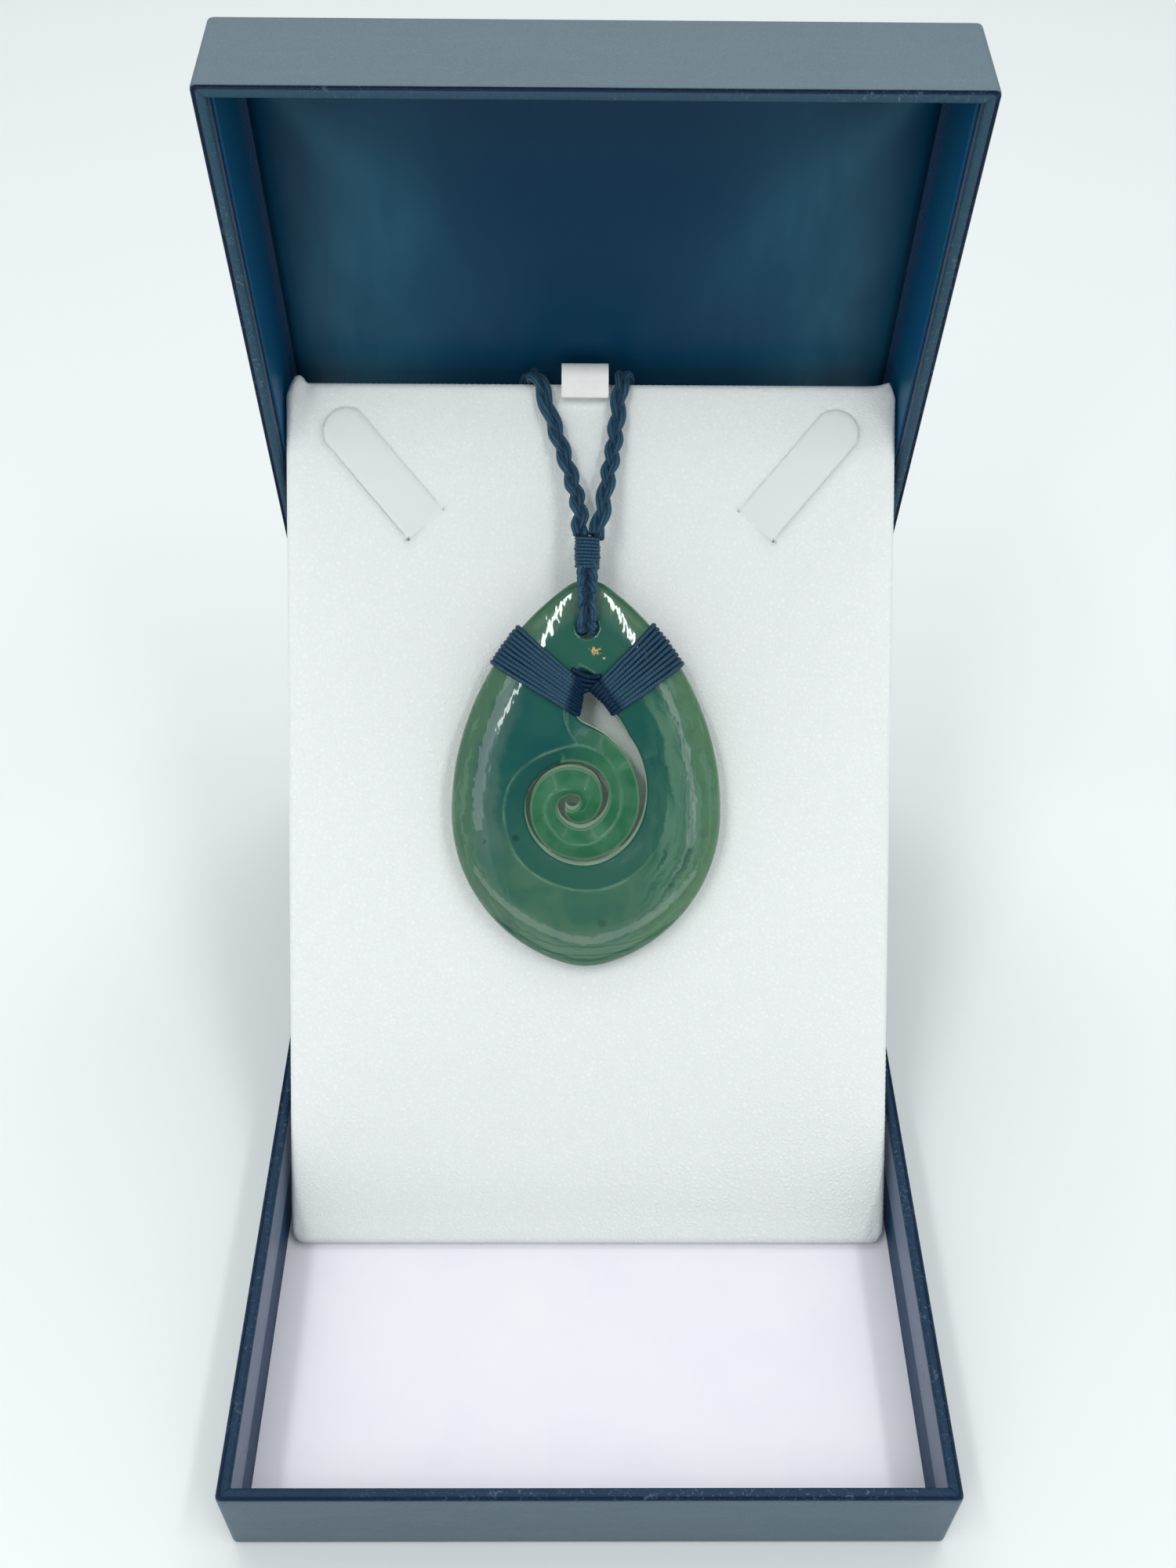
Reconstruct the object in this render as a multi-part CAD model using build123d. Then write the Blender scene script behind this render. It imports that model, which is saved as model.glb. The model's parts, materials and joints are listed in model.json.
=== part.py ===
from build123d import *

"""Koru pendant on a plaited cord, shown on the pad of a hinged gift box.

Frame, in millimetres: the origin is the middle of the base's underside, +X is
the viewer's right, +Y is towards the hinge and +Z is up. The lid leans on the
cord that runs over the pad's top edge, so its angle follows from the pad.
"""

import math
import os
from dataclasses import dataclass

# Box of wrapped board
BOX_WIDTH = 100.0
BOX_DEPTH = 140.0
BASE_HEIGHT = 15.8
LID_HEIGHT = 16.2
BOARD = 1.9
FLOOR_BOARD = 1.4
FLOOR_CARD = 0.5
CORNER_ROUND = 0.9
RIM_ROUND = 0.55

# Lining of the lid
LINER_BOARD = 0.5
LINER_DROP = 2.0
SATIN_THICKNESS = 1.3
SATIN_ROUND = 0.9

# Hinge cover
COVER_THICKNESS = 0.5
COVER_HEIGHT = 9.0
COVER_END_INSET = 3.0
HINGE_BEAD_RADIUS = 0.3
HINGE_SETBACK = 0.6
RIM_CLEARANCE = 0.3

# Display pad
PAD_LENGTH = 135.3
PAD_THICKNESS = 2.5
PAD_TILT = 48.0
PAD_FOOT_FROM_FRONT = 45.4
PAD_SIDE_CLEARANCE = 0.35
PAD_EDGE_ROUND = 1.0
PAD_CORNER_ROUND = 2.2
TONGUE_WIDTH = 7.0
TONGUE_LENGTH = 19.6
TONGUE_CAP = 2.8
TONGUE_LEAN = 40.5
TONGUE_SPACING = 51.2
TONGUE_BELOW_TOP = 21.7
TONGUE_RISE = 0.25
TONGUE_CUT = 0.35
TONGUE_DEPTH = 1.2

# Curled tab on the pad's top edge
TAB_WIDTH = 7.2
TAB_THICKNESS = 0.9
TAB_OFFSET = -1.0
TAB_RISE = 3.2
TAB_LAP = 2.4
TAB_STAND_OFF = 0.9

# Stone
STONE_HALF_WIDTH = 20.75
STONE_TOP = 29.87
STONE_BOTTOM = 29.85
STONE_WIDEST_BELOW = 5.84
STONE_UPPER_SIDE_RADIUS = 42.95
STONE_LOWER_SIDE_RADIUS = 24.57
STONE_THICKNESS = 6.4
FRONT_DOME_RADIUS = 300.0
BACK_DOME_RADIUS = 350.0
STONE_EDGE_ROUND = 1.7
STONE_UP_THE_PAD = 74.9
STONE_TO_THE_LEFT = 0.6
STONE_TILT = 3.5
STONE_SEAT = 0.3

# Hole and spiral
HOLE_UP = 22.6
HOLE_RADIUS = 1.95
HOLE_BEVEL = 0.4
SPIRAL_X = -2.13
SPIRAL_Y = -3.89
EYE_RADIUS = 1.12
BEVEL_DEPTH = 1.05

# Cords and threads
CORD_DIAMETER = 2.4
CORD_GAP = 0.25
CORD_REST_GAP = 0.15
BAIL_BEND = 2.4
STRAND_SPACING = 2.5
WHIPPING_TURNS = 9
WHIPPING_PITCH = 0.54
WHIPPING_WIDTH = 3.9
WHIPPING_TOP_DEPTH = 3.7
WHIPPING_FOOT_DEPTH = 6.6
WHIPPING_ABOVE_STONE = 1.7
THREAD_DIAMETER = 0.5
THREAD_GAP = 0.08
THREAD_SLACK = 0.3
LASHING_TURNS = 10
CLASP_LENGTH = 12.0
CLASP_DIAMETER = 4.8

EASE = 0.05


@dataclass
class SlotRow:
    """The slot and its bevels at one angle, clockwise from the top.

    Its radii are from the eye, in half widths of the stone.
    """

    angle: float
    outer: float
    inner: float
    outer_ridge: float
    inner_ridge: float


SLOT = [
    SlotRow(40, 0.646, 0.535, 0.892, 0.388),
    SlotRow(60, 0.598, 0.513, 0.776, 0.369),
    SlotRow(80, 0.559, 0.499, 0.718, 0.359),
    SlotRow(100, 0.537, 0.494, 0.704, 0.354),
    SlotRow(130, 0.518, 0.477, 0.706, 0.337),
    SlotRow(160, 0.496, 0.448, 0.682, 0.323),
    SlotRow(190, 0.451, 0.410, 0.627, 0.289),
    SlotRow(220, 0.402, 0.369, 0.583, 0.243),
    SlotRow(250, 0.366, 0.328, 0.525, 0.217),
    SlotRow(280, 0.341, 0.304, 0.489, 0.176),
    SlotRow(310, 0.319, 0.283, 0.441, 0.140),
    SlotRow(340, 0.305, 0.267, 0.412, 0.116),
    SlotRow(370, 0.302, 0.259, 0.427, 0.115),
    SlotRow(400, 0.301, 0.254, 0.390, 0.129),
    SlotRow(430, 0.283, 0.233, 0.365, 0.126),
    SlotRow(460, 0.259, 0.212, 0.354, 0.114),
    SlotRow(490, 0.231, 0.195, 0.337, 0.096),
    SlotRow(520, 0.206, 0.169, 0.323, 0.084),
    SlotRow(550, 0.169, 0.133, 0.289, 0.075),
    SlotRow(580, 0.141, 0.087, 0.243, 0.062),
    SlotRow(610, 0.116, 0.050, 0.217, 0.040),
]


@dataclass
class MouthRow:
    """A point of the slot's mouth between the two arms, in half widths of the stone from its centre."""

    x: float
    y: float


MOUTH = [
    MouthRow(0.007, 0.752),
    MouthRow(-0.027, 0.704),
    MouthRow(-0.046, 0.636),
    MouthRow(-0.063, 0.559),
    MouthRow(-0.077, 0.492),
    MouthRow(-0.072, 0.439),
    MouthRow(-0.029, 0.400),
    MouthRow(0.041, 0.365),
    MouthRow(0.140, 0.309),
    MouthRow(0.245, 0.225),
    MouthRow(0.320, 0.299),
    MouthRow(0.289, 0.357),
    MouthRow(0.236, 0.443),
    MouthRow(0.178, 0.496),
    MouthRow(0.125, 0.559),
    MouthRow(0.082, 0.622),
    MouthRow(0.046, 0.694),
]


@dataclass
class Band:
    """The ends of a lashing's first and last turn, in half widths of the stone.

    The inner ends lie on the mouth's edge. The turns run towards the outer points, as far as the outline.
    """

    towards_top: tuple
    towards_foot: tuple
    inner_top: tuple
    inner_foot: tuple


LEFT_BAND = Band((-0.487, 1.070), (-0.677, 0.830), (-0.036, 0.690), (-0.075, 0.450))
RIGHT_BAND = Band((0.473, 1.090), (0.683, 0.820), (0.062, 0.668), (0.205, 0.476))


@dataclass
class CordPoint:
    """A chosen point of a strand: across, from the front and up, in the frame that its list names."""

    x: float
    y: float
    z: float


# Each strand's points on the pad: across, up the pad's face and out of it
LEFT_ON_PAD = [
    CordPoint(-1.60, 114.8, 5.30),
    CordPoint(-2.75, 119.4, 3.60),
    CordPoint(-4.30, 124.4, 2.15),
    CordPoint(-6.10, 129.6, 1.50),
]
RIGHT_ON_PAD = [
    CordPoint(1.65, 114.8, 5.30),
    CordPoint(2.35, 119.6, 3.60),
    CordPoint(3.35, 124.6, 2.15),
    CordPoint(3.95, 129.8, 1.50),
]
LEFT_OVER_EDGE = -8.4
LEFT_BEHIND_EDGE = -9.9
RIGHT_OVER_EDGE = 4.7
RIGHT_BEHIND_EDGE = 5.6
# Their points behind the pad: across, from the front face and up from the table
LEFT_BEHIND = [
    CordPoint(-10.9, 136.9, 96.0),
    CordPoint(-12.6, 136.2, 82.0),
    CordPoint(-15.0, 135.6, 56.0),
    CordPoint(-19.4, 133.9, 28.0),
    CordPoint(-22.0, 130.7, 14.0),
    CordPoint(-24.4, 124.6, 6.2),
    CordPoint(-27.6, 115.2, 3.35),
    CordPoint(-31.8, 100.0, 3.35),
    CordPoint(-33.4, 83.0, 3.35),
    CordPoint(-29.6, 68.6, 3.35),
    CordPoint(-20.4, 60.4, 3.60),
]
RIGHT_BEHIND = [
    CordPoint(6.6, 136.9, 96.0),
    CordPoint(8.2, 136.2, 82.0),
    CordPoint(12.0, 135.5, 56.0),
    CordPoint(17.2, 133.8, 28.0),
    CordPoint(20.4, 130.6, 14.0),
    CordPoint(23.2, 124.4, 6.2),
    CordPoint(27.0, 115.0, 3.35),
    CordPoint(32.4, 100.4, 3.35),
    CordPoint(34.2, 84.0, 3.35),
    CordPoint(29.4, 69.2, 3.35),
    CordPoint(19.8, 60.2, 3.60),
]
CLASP_FROM_FRONT = 58.0
CLASP_LEAD = 6.0

# Sizes that follow from the ones above
HALF_WIDTH = BOX_WIDTH / 2
FRONT = -BOX_DEPTH / 2
BACK = BOX_DEPTH / 2
FLOOR_TOP = FLOOR_BOARD + FLOOR_CARD
CORD_RADIUS = CORD_DIAMETER / 2
THREAD_RADIUS = THREAD_DIAMETER / 2
PAD_WIDTH = BOX_WIDTH - 2 * (BOARD + EASE + LINER_BOARD + PAD_SIDE_CLEARANCE)
LID_STAND_OFF = CORD_DIAMETER + 2 * CORD_GAP
AXIS_Y = BACK + HINGE_SETBACK
AXIS_Z = BASE_HEIGHT + RIM_CLEARANCE / 2

PAD_NORMAL = Vector(0, -math.sin(math.radians(PAD_TILT)), math.cos(math.radians(PAD_TILT)))
PAD_UP = Vector(0, math.cos(math.radians(PAD_TILT)), math.sin(math.radians(PAD_TILT)))
FOOT_ROUND = PAD_THICKNESS / 2
FOOT_CENTRE = Vector(0, FRONT + PAD_FOOT_FROM_FRONT, FLOOR_TOP + CORD_REST_GAP + FOOT_ROUND)
PAD_ORIGIN = FOOT_CENTRE - FOOT_ROUND * PAD_UP + FOOT_ROUND * PAD_NORMAL
PAD = Plane(origin=PAD_ORIGIN, x_dir=(1, 0, 0), z_dir=PAD_NORMAL).location


def pad_point(x, y, z):
    """The place of a point given across, up the pad's face and out of it."""
    return (PAD * Location((x, y, z))).position


def lid_rest_angle():
    """The lid's opening in degrees, with its satin the cord's room away from the pad's back top edge."""
    edge = pad_point(0, PAD_LENGTH, -PAD_THICKNESS)
    run, rise = edge.Y - AXIS_Y, edge.Z - AXIS_Z
    depth = LID_HEIGHT - BOARD - SATIN_THICKNESS - LID_STAND_OFF + RIM_CLEARANCE / 2
    return math.degrees(math.pi - math.asin(depth / math.hypot(run, rise)) - math.atan2(rise, run))


LID_ANGLE = lid_rest_angle()


def tray(height, floor):
    """A wrapped tray that opens upwards, with its underside at z = 0."""
    body = Box(BOX_WIDTH, BOX_DEPTH, height, align=(Align.CENTER, Align.CENTER, Align.MIN))
    body = fillet(body.edges().filter_by(Axis.Z), CORNER_ROUND)
    body = fillet(body.faces().sort_by(Axis.Z)[0].edges(), RIM_ROUND)
    hollow = Box(
        BOX_WIDTH - 2 * BOARD,
        BOX_DEPTH - 2 * BOARD,
        height,
        align=(Align.CENTER, Align.CENTER, Align.MIN),
    )
    body -= Pos(0, 0, floor) * hollow
    return fillet(body.faces().sort_by(Axis.Z)[-1].edges(), RIM_ROUND)


def on_lid(shape):
    """Turns a shape that was made in the lid's closed place to where the lid rests."""
    return shape.rotate(Axis((0, AXIS_Y, AXIS_Z), (1, 0, 0)), -LID_ANGLE)


def closed_lid(shape):
    """Turns a shape made like a tray over, rim down, onto the closed lid's place."""
    rim = BASE_HEIGHT + RIM_CLEARANCE
    return Pos(0, 0, rim + LID_HEIGHT) * Rot(180, 0, 0) * shape


def make_base():
    return tray(BASE_HEIGHT, FLOOR_BOARD)


def make_floor_card():
    card = Box(
        BOX_WIDTH - 2 * BOARD - 2 * EASE,
        BOX_DEPTH - 2 * BOARD - 2 * EASE,
        FLOOR_CARD,
        align=(Align.CENTER, Align.CENTER, Align.MIN),
    )
    return Pos(0, 0, FLOOR_BOARD) * card


def make_lid_shell():
    return on_lid(closed_lid(tray(LID_HEIGHT, BOARD)))


def make_wall_lining():
    width = BOX_WIDTH - 2 * BOARD - 2 * EASE
    depth = BOX_DEPTH - 2 * BOARD - 2 * EASE
    height = LID_HEIGHT - BOARD - LINER_DROP
    align = (Align.CENTER, Align.CENTER, Align.MIN)
    frame = Box(width, depth, height, align=align)
    frame -= Box(width - 2 * LINER_BOARD, depth - 2 * LINER_BOARD, height, align=align)
    return on_lid(closed_lid(Pos(0, 0, BOARD) * frame))


def make_satin_panel():
    inset = BOARD + LINER_BOARD + 2 * EASE
    panel = Box(
        BOX_WIDTH - 2 * inset,
        BOX_DEPTH - 2 * inset,
        SATIN_THICKNESS,
        align=(Align.CENTER, Align.CENTER, Align.MIN),
    )
    panel = fillet(panel.faces().sort_by(Axis.Z)[-1].edges(), SATIN_ROUND)
    return on_lid(closed_lid(Pos(0, 0, BOARD) * panel))


def make_hinge_cover():
    length = BOX_WIDTH - 2 * COVER_END_INSET
    plate = Pos(0, BACK + EASE, AXIS_Z - COVER_HEIGHT) * Box(
        length,
        COVER_THICKNESS,
        COVER_HEIGHT,
        align=(Align.CENTER, Align.MIN, Align.MIN),
    )
    bead = Pos(0, AXIS_Y, AXIS_Z) * Rot(0, 90, 0) * Cylinder(HINGE_BEAD_RADIUS, length)
    return plate + bead


def tongue_outline(side, margin):
    """The U of a cut tongue, larger all round by the margin but not at its foot."""
    half = TONGUE_WIDTH / 2 + margin
    cap = TONGUE_CAP + margin
    edge = Polyline((half, TONGUE_LENGTH), (half, 0), (-half, 0), (-half, TONGUE_LENGTH))
    top = ThreePointArc((-half, TONGUE_LENGTH), (0, TONGUE_LENGTH + cap), (half, TONGUE_LENGTH))
    face = make_face(edge.edges() + top.edges())
    foot = Pos(side * TONGUE_SPACING / 2, PAD_LENGTH - TONGUE_BELOW_TOP, 0)
    return foot * Rot(0, 0, -side * TONGUE_LEAN) * face


def make_pad():
    outline = Pos(0, PAD_LENGTH / 2, 0) * RectangleRounded(PAD_WIDTH, PAD_LENGTH, PAD_CORNER_ROUND)
    board = extrude(outline, amount=-PAD_THICKNESS)
    board = fillet(board.faces().sort_by(Axis.Z)[-1].edges(), PAD_EDGE_ROUND)
    board = fillet(board.faces().sort_by(Axis.Z)[0].edges(), PAD_EDGE_ROUND)
    for side in (-1, 1):
        tongue = tongue_outline(side, 0)
        groove = tongue_outline(side, TONGUE_CUT) - tongue
        board -= Pos(0, 0, -TONGUE_DEPTH) * extrude(groove, amount=TONGUE_DEPTH + TONGUE_RISE)
        board += Pos(0, 0, -TONGUE_DEPTH) * extrude(tongue, amount=TONGUE_DEPTH + TONGUE_RISE)
    return PAD * board


def make_tab():
    """A strip that stands off the pad's face, curls over its top edge and ends behind it."""
    front = TAB_STAND_OFF + TAB_THICKNESS
    back = -PAD_THICKNESS - EASE - TAB_THICKNESS
    bend = (front - back) / 2
    top = PAD_LENGTH + TAB_RISE
    low = PAD_LENGTH - TAB_LAP
    middle = (front + back) / 2
    inner = bend - TAB_THICKNESS
    outside = Polyline((middle - bend, top - bend), (middle - bend, low)) + Line(
        (middle - bend, low), (middle - inner, low)
    )
    outline = outside.edges()
    outline += Line((middle - inner, low), (middle - inner, top - bend)).edges()
    outline += ThreePointArc(
        (middle - inner, top - bend), (middle, top - TAB_THICKNESS), (middle + inner, top - bend)
    ).edges()
    outline += Line((middle + inner, top - bend), (middle + inner, low)).edges()
    outline += Line((middle + inner, low), (middle + bend, low)).edges()
    outline += Line((middle + bend, low), (middle + bend, top - bend)).edges()
    outline += ThreePointArc(
        (middle + bend, top - bend), (middle, top), (middle - bend, top - bend)
    ).edges()
    profile = make_face(outline)
    strip = extrude(profile, amount=TAB_WIDTH / 2, both=True)
    # The profile's X is out of the pad and its Y is up the pad
    upright = Plane(origin=(TAB_OFFSET, 0, 0), x_dir=(0, 0, 1), z_dir=(-1, 0, 0)).location
    return PAD * (upright * strip)


def end_radius(side_radius, reach):
    """The radius of the arc on the centre line that meets a side arc of the outline smoothly."""
    inset = STONE_HALF_WIDTH - side_radius
    return (inset**2 + reach**2 - side_radius**2) / (2 * (reach - side_radius))


def quarter_outline(side_radius, end, widest):
    """The side arc and half of the end arc, from the widest point to the centre line."""
    sign = math.copysign(1, end - widest)
    reach = abs(end - widest)
    radius = end_radius(side_radius, reach)
    side_centre = Vector(STONE_HALF_WIDTH - side_radius, widest)
    end_centre = Vector(0, end - sign * radius)
    along = (end_centre - side_centre).normalized()
    meet = side_centre + along * side_radius
    turn = math.atan2(abs(along.Y), along.X)
    half_way = side_centre + Vector(math.cos(turn / 2), sign * math.sin(turn / 2)) * side_radius
    rest = math.atan2(abs(along.Y), along.X) / 2 + math.pi / 4
    near_end = end_centre + Vector(math.cos(rest), sign * math.sin(rest)) * radius
    side = ThreePointArc((STONE_HALF_WIDTH, widest), half_way, meet)
    tip = ThreePointArc(meet, near_end, (0, end))
    return side.edges() + tip.edges()


def stone_outline():
    right = quarter_outline(STONE_UPPER_SIDE_RADIUS, STONE_TOP, -STONE_WIDEST_BELOW)
    right += quarter_outline(STONE_LOWER_SIDE_RADIUS, -STONE_BOTTOM, -STONE_WIDEST_BELOW)
    half = make_face(right + [Edge.make_line((0, STONE_TOP), (0, -STONE_BOTTOM))])
    return half + mirror(half, Plane.YZ)


def front_height(x, y):
    """How far the stone's front face is above its middle plane."""
    return STONE_THICKNESS / 2 - FRONT_DOME_RADIUS + math.sqrt(FRONT_DOME_RADIUS**2 - x * x - y * y)


def back_height(x, y):
    """How far the stone's back face is below its middle plane."""
    return STONE_THICKNESS / 2 - BACK_DOME_RADIUS + math.sqrt(BACK_DOME_RADIUS**2 - x * x - y * y)


def smooth_row(angle):
    """The slot's row at an angle, from a smooth curve through the table."""
    last = len(SLOT) - 2
    k = min(max(i for i in range(last + 1) if SLOT[i].angle <= angle), last)
    before, a, b, after = SLOT[max(k - 1, 0)], SLOT[k], SLOT[k + 1], SLOT[min(k + 2, last + 1)]
    t = (angle - a.angle) / (b.angle - a.angle)
    values = []
    for name in ("outer", "inner", "outer_ridge", "inner_ridge"):
        p, q = getattr(a, name), getattr(b, name)
        span = b.angle - a.angle
        start = (q - getattr(before, name)) / (b.angle - before.angle) * span
        finish = (getattr(after, name) - p) / (after.angle - a.angle) * span
        value = (2 * t**3 - 3 * t**2 + 1) * p + (t**3 - 2 * t**2 + t) * start
        value += (3 * t**2 - 2 * t**3) * q + (t**3 - t**2) * finish
        values.append(value * STONE_HALF_WIDTH)
    return SlotRow(angle, *values)


def slot_section(angle):
    """The slot and its two bevels as a closed polygon on the plane at an angle round the eye."""
    row = smooth_row(angle)
    turn = math.radians(angle)
    across = Vector(math.sin(turn), math.cos(turn))
    eye = Vector(SPIRAL_X, SPIRAL_Y)
    low = -STONE_THICKNESS
    step = front_height(0, 0) - BEVEL_DEPTH

    def at(radius, height):
        place = eye + across * radius
        return Vector(place.X, place.Y, height)

    def flank(slot, ridge, share):
        crest = eye + across * ridge
        rise = front_height(crest.X, crest.Y) - step
        return at(slot + (ridge - slot) * share, step + rise * share)

    outline = [
        flank(row.outer, row.outer_ridge, 1.5),
        at(row.outer, step),
        at(row.outer, low),
        at(row.inner, low),
        at(row.inner, step),
        flank(row.inner, row.inner_ridge, 1.3),
    ]
    return Face(Wire(Polyline(*outline, close=True).edges()))


def slot_cutters():
    """The spiral in pieces of less than a turn, each lofted through a section every few degrees."""
    first, last = SLOT[0].angle, SLOT[-1].angle
    step = 10
    count = round((last - first) / step)
    angles = [first + (last - first) * i / count for i in range(count + 1)]
    per_piece = 15
    pieces = []
    for start in range(0, count, per_piece):
        run = angles[start : start + per_piece + 1]
        pieces.append(loft([slot_section(a) for a in run], ruled=True))
    return pieces


def mouth_points():
    return [Vector(row.x * STONE_HALF_WIDTH, row.y * STONE_HALF_WIDTH) for row in MOUTH]


def make_stone():
    body = extrude(stone_outline(), amount=STONE_THICKNESS, both=True)
    body &= Pos(0, 0, STONE_THICKNESS / 2 - FRONT_DOME_RADIUS) * Sphere(FRONT_DOME_RADIUS)
    body &= Pos(0, 0, BACK_DOME_RADIUS - STONE_THICKNESS / 2) * Sphere(BACK_DOME_RADIUS)
    front = body.faces().sort_by(Axis.Z)[-1]
    back = body.faces().sort_by(Axis.Z)[0]
    body = fillet(front.edges() + back.edges(), STONE_EDGE_ROUND)
    for cutter in slot_cutters():
        body -= cutter
    mouth = make_face(Spline(*mouth_points(), periodic=True).edges())
    body -= extrude(mouth, amount=STONE_THICKNESS, both=True)
    deep = 2 * STONE_THICKNESS
    body -= Pos(SPIRAL_X, SPIRAL_Y, 0) * Cylinder(EYE_RADIUS, deep)
    body -= Pos(0, HOLE_UP, 0) * Cylinder(HOLE_RADIUS, deep)
    lip = Cone(HOLE_RADIUS, HOLE_RADIUS + 2 * HOLE_BEVEL, 2 * HOLE_BEVEL)
    body -= Pos(0, HOLE_UP, front_height(0, HOLE_UP)) * lip
    body -= Pos(0, HOLE_UP, -back_height(0, HOLE_UP)) * Rot(180, 0, 0) * lip
    return body


def stone_lift():
    """The height of the stone's middle above the pad at which its tilted back just clears the pad."""
    tilt = math.radians(STONE_TILT)
    lowest = 0.0
    for k in range(60):
        y = -STONE_BOTTOM + STONE_EDGE_ROUND + k * STONE_EDGE_ROUND / 2
        lowest = min(lowest, y * math.sin(tilt) - back_height(0, y) * math.cos(tilt))
    return STONE_SEAT - lowest


STONE = PAD * Location((-STONE_TO_THE_LEFT, STONE_UP_THE_PAD, stone_lift()), (STONE_TILT, 0, 0))


def stone_point(x, y, z):
    """The place of a point given in the stone's own frame."""
    return (STONE * Location((x, y, z))).position


def inside_outline(x, y):
    """Whether a point of the stone's plane is inside its outline."""
    upper = y >= -STONE_WIDEST_BELOW
    side_radius = STONE_UPPER_SIDE_RADIUS if upper else STONE_LOWER_SIDE_RADIUS
    reach = STONE_TOP + STONE_WIDEST_BELOW if upper else STONE_BOTTOM - STONE_WIDEST_BELOW
    out, up = abs(x), abs(y + STONE_WIDEST_BELOW)
    radius = end_radius(side_radius, reach)
    centre = Vector(STONE_HALF_WIDTH - side_radius, 0)
    tip_centre = Vector(0, reach - radius)
    joint = (tip_centre - centre).normalized()
    place = Vector(out, up)
    if joint.X * (up - centre.Y) - joint.Y * (out - centre.X) <= 0:
        return (place - centre).length <= side_radius
    return (place - tip_centre).length <= radius


def on_outline(inner, towards):
    """Where the line from a point of the mouth meets the stone's outline."""
    along = (towards - inner).normalized()
    near, far = 0.0, 2 * STONE_HALF_WIDTH
    for _ in range(40):
        middle = (near + far) / 2
        place = inner + along * middle
        if inside_outline(place.X, place.Y):
            near = middle
        else:
            far = middle
    return inner + along * near


def make_turn(outer, inner):
    """One turn of thread round an arm of the stone, in the stone's frame."""
    clear = THREAD_RADIUS + THREAD_GAP
    along = (inner - outer).normalized()
    shoulder = outer + along * STONE_EDGE_ROUND * 0.32
    near = inner + along * (clear + THREAD_SLACK)
    far = outer - along * clear
    drop = STONE_EDGE_ROUND * 0.54
    front = front_height(shoulder.X, shoulder.Y)
    back = -back_height(shoulder.X, shoulder.Y)
    points = [
        (far, front - drop),
        (shoulder, front + clear + THREAD_GAP),
        (near, front_height(inner.X, inner.Y) + clear),
        (near, -back_height(inner.X, inner.Y) - clear),
        (shoulder, back - clear - THREAD_GAP),
        (far, back + drop),
    ]
    corners = [Vector(p.X, p.Y, z) for p, z in points]
    path = FilletPolyline(*corners, radius=THREAD_DIAMETER, close=True)
    start = path.edges()[0]
    section = Plane(origin=start @ 0.5, z_dir=start % 0.5) * Circle(THREAD_RADIUS)
    return sweep(section, path=path)


def make_lashing(band):
    """Turns between the band's first and last, evenly spaced."""
    scale = STONE_HALF_WIDTH

    def between(first, last, share):
        a, b = Vector(*first) * scale, Vector(*last) * scale
        return a + (b - a) * share

    turns = []
    for k in range(LASHING_TURNS):
        share = k / (LASHING_TURNS - 1)
        inner = between(band.inner_top, band.inner_foot, share)
        towards = between(band.towards_top, band.towards_foot, share)
        turns.append(make_turn(on_outline(inner, towards), inner))
    return STONE * Compound(turns)


def whipping_span():
    """Where the whipping starts and ends above the stone's centre."""
    low = STONE_TOP + WHIPPING_ABOVE_STONE
    return low, low + WHIPPING_TURNS * WHIPPING_PITCH


def make_whipping():
    low, _ = whipping_span()
    body = None
    for k in range(WHIPPING_TURNS):
        share = (k + 0.5) / WHIPPING_TURNS
        depth = WHIPPING_FOOT_DEPTH + (WHIPPING_TOP_DEPTH - WHIPPING_FOOT_DEPTH) * share
        ring = extrude(RectangleRounded(WHIPPING_WIDTH, depth, WHIPPING_WIDTH * 0.45), amount=WHIPPING_PITCH)
        ring = fillet(ring.faces().sort_by(Axis.Z)[-1].edges(), WHIPPING_PITCH * 0.4)
        ring = Pos(0, 0, k * WHIPPING_PITCH) * ring
        body = ring if body is None else body + ring
    upright = Location((0, low, 0), (-90, 0, 0))
    return STONE * (upright * body)


def bail_route():
    """The loop's corners in the stone's frame, from the whipping down the front and up the back."""
    low, _ = whipping_span()
    leg = CORD_RADIUS + CORD_GAP
    foot_in = WHIPPING_FOOT_DEPTH / 2 - CORD_RADIUS
    front, back = front_height(0, HOLE_UP) + leg, back_height(0, HOLE_UP) + leg
    rim_front = front_height(0, STONE_TOP) + leg
    rim_back = back_height(0, STONE_TOP) + leg
    shoulder = STONE_TOP - STONE_EDGE_ROUND * 0.6
    return [
        (0, low, foot_in),
        (0, shoulder, rim_front + 0.2),
        (0, HOLE_UP, front),
        (0, HOLE_UP, -back),
        (0, shoulder, -rim_back - 0.2),
        (0, low, -foot_in),
    ]


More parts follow.
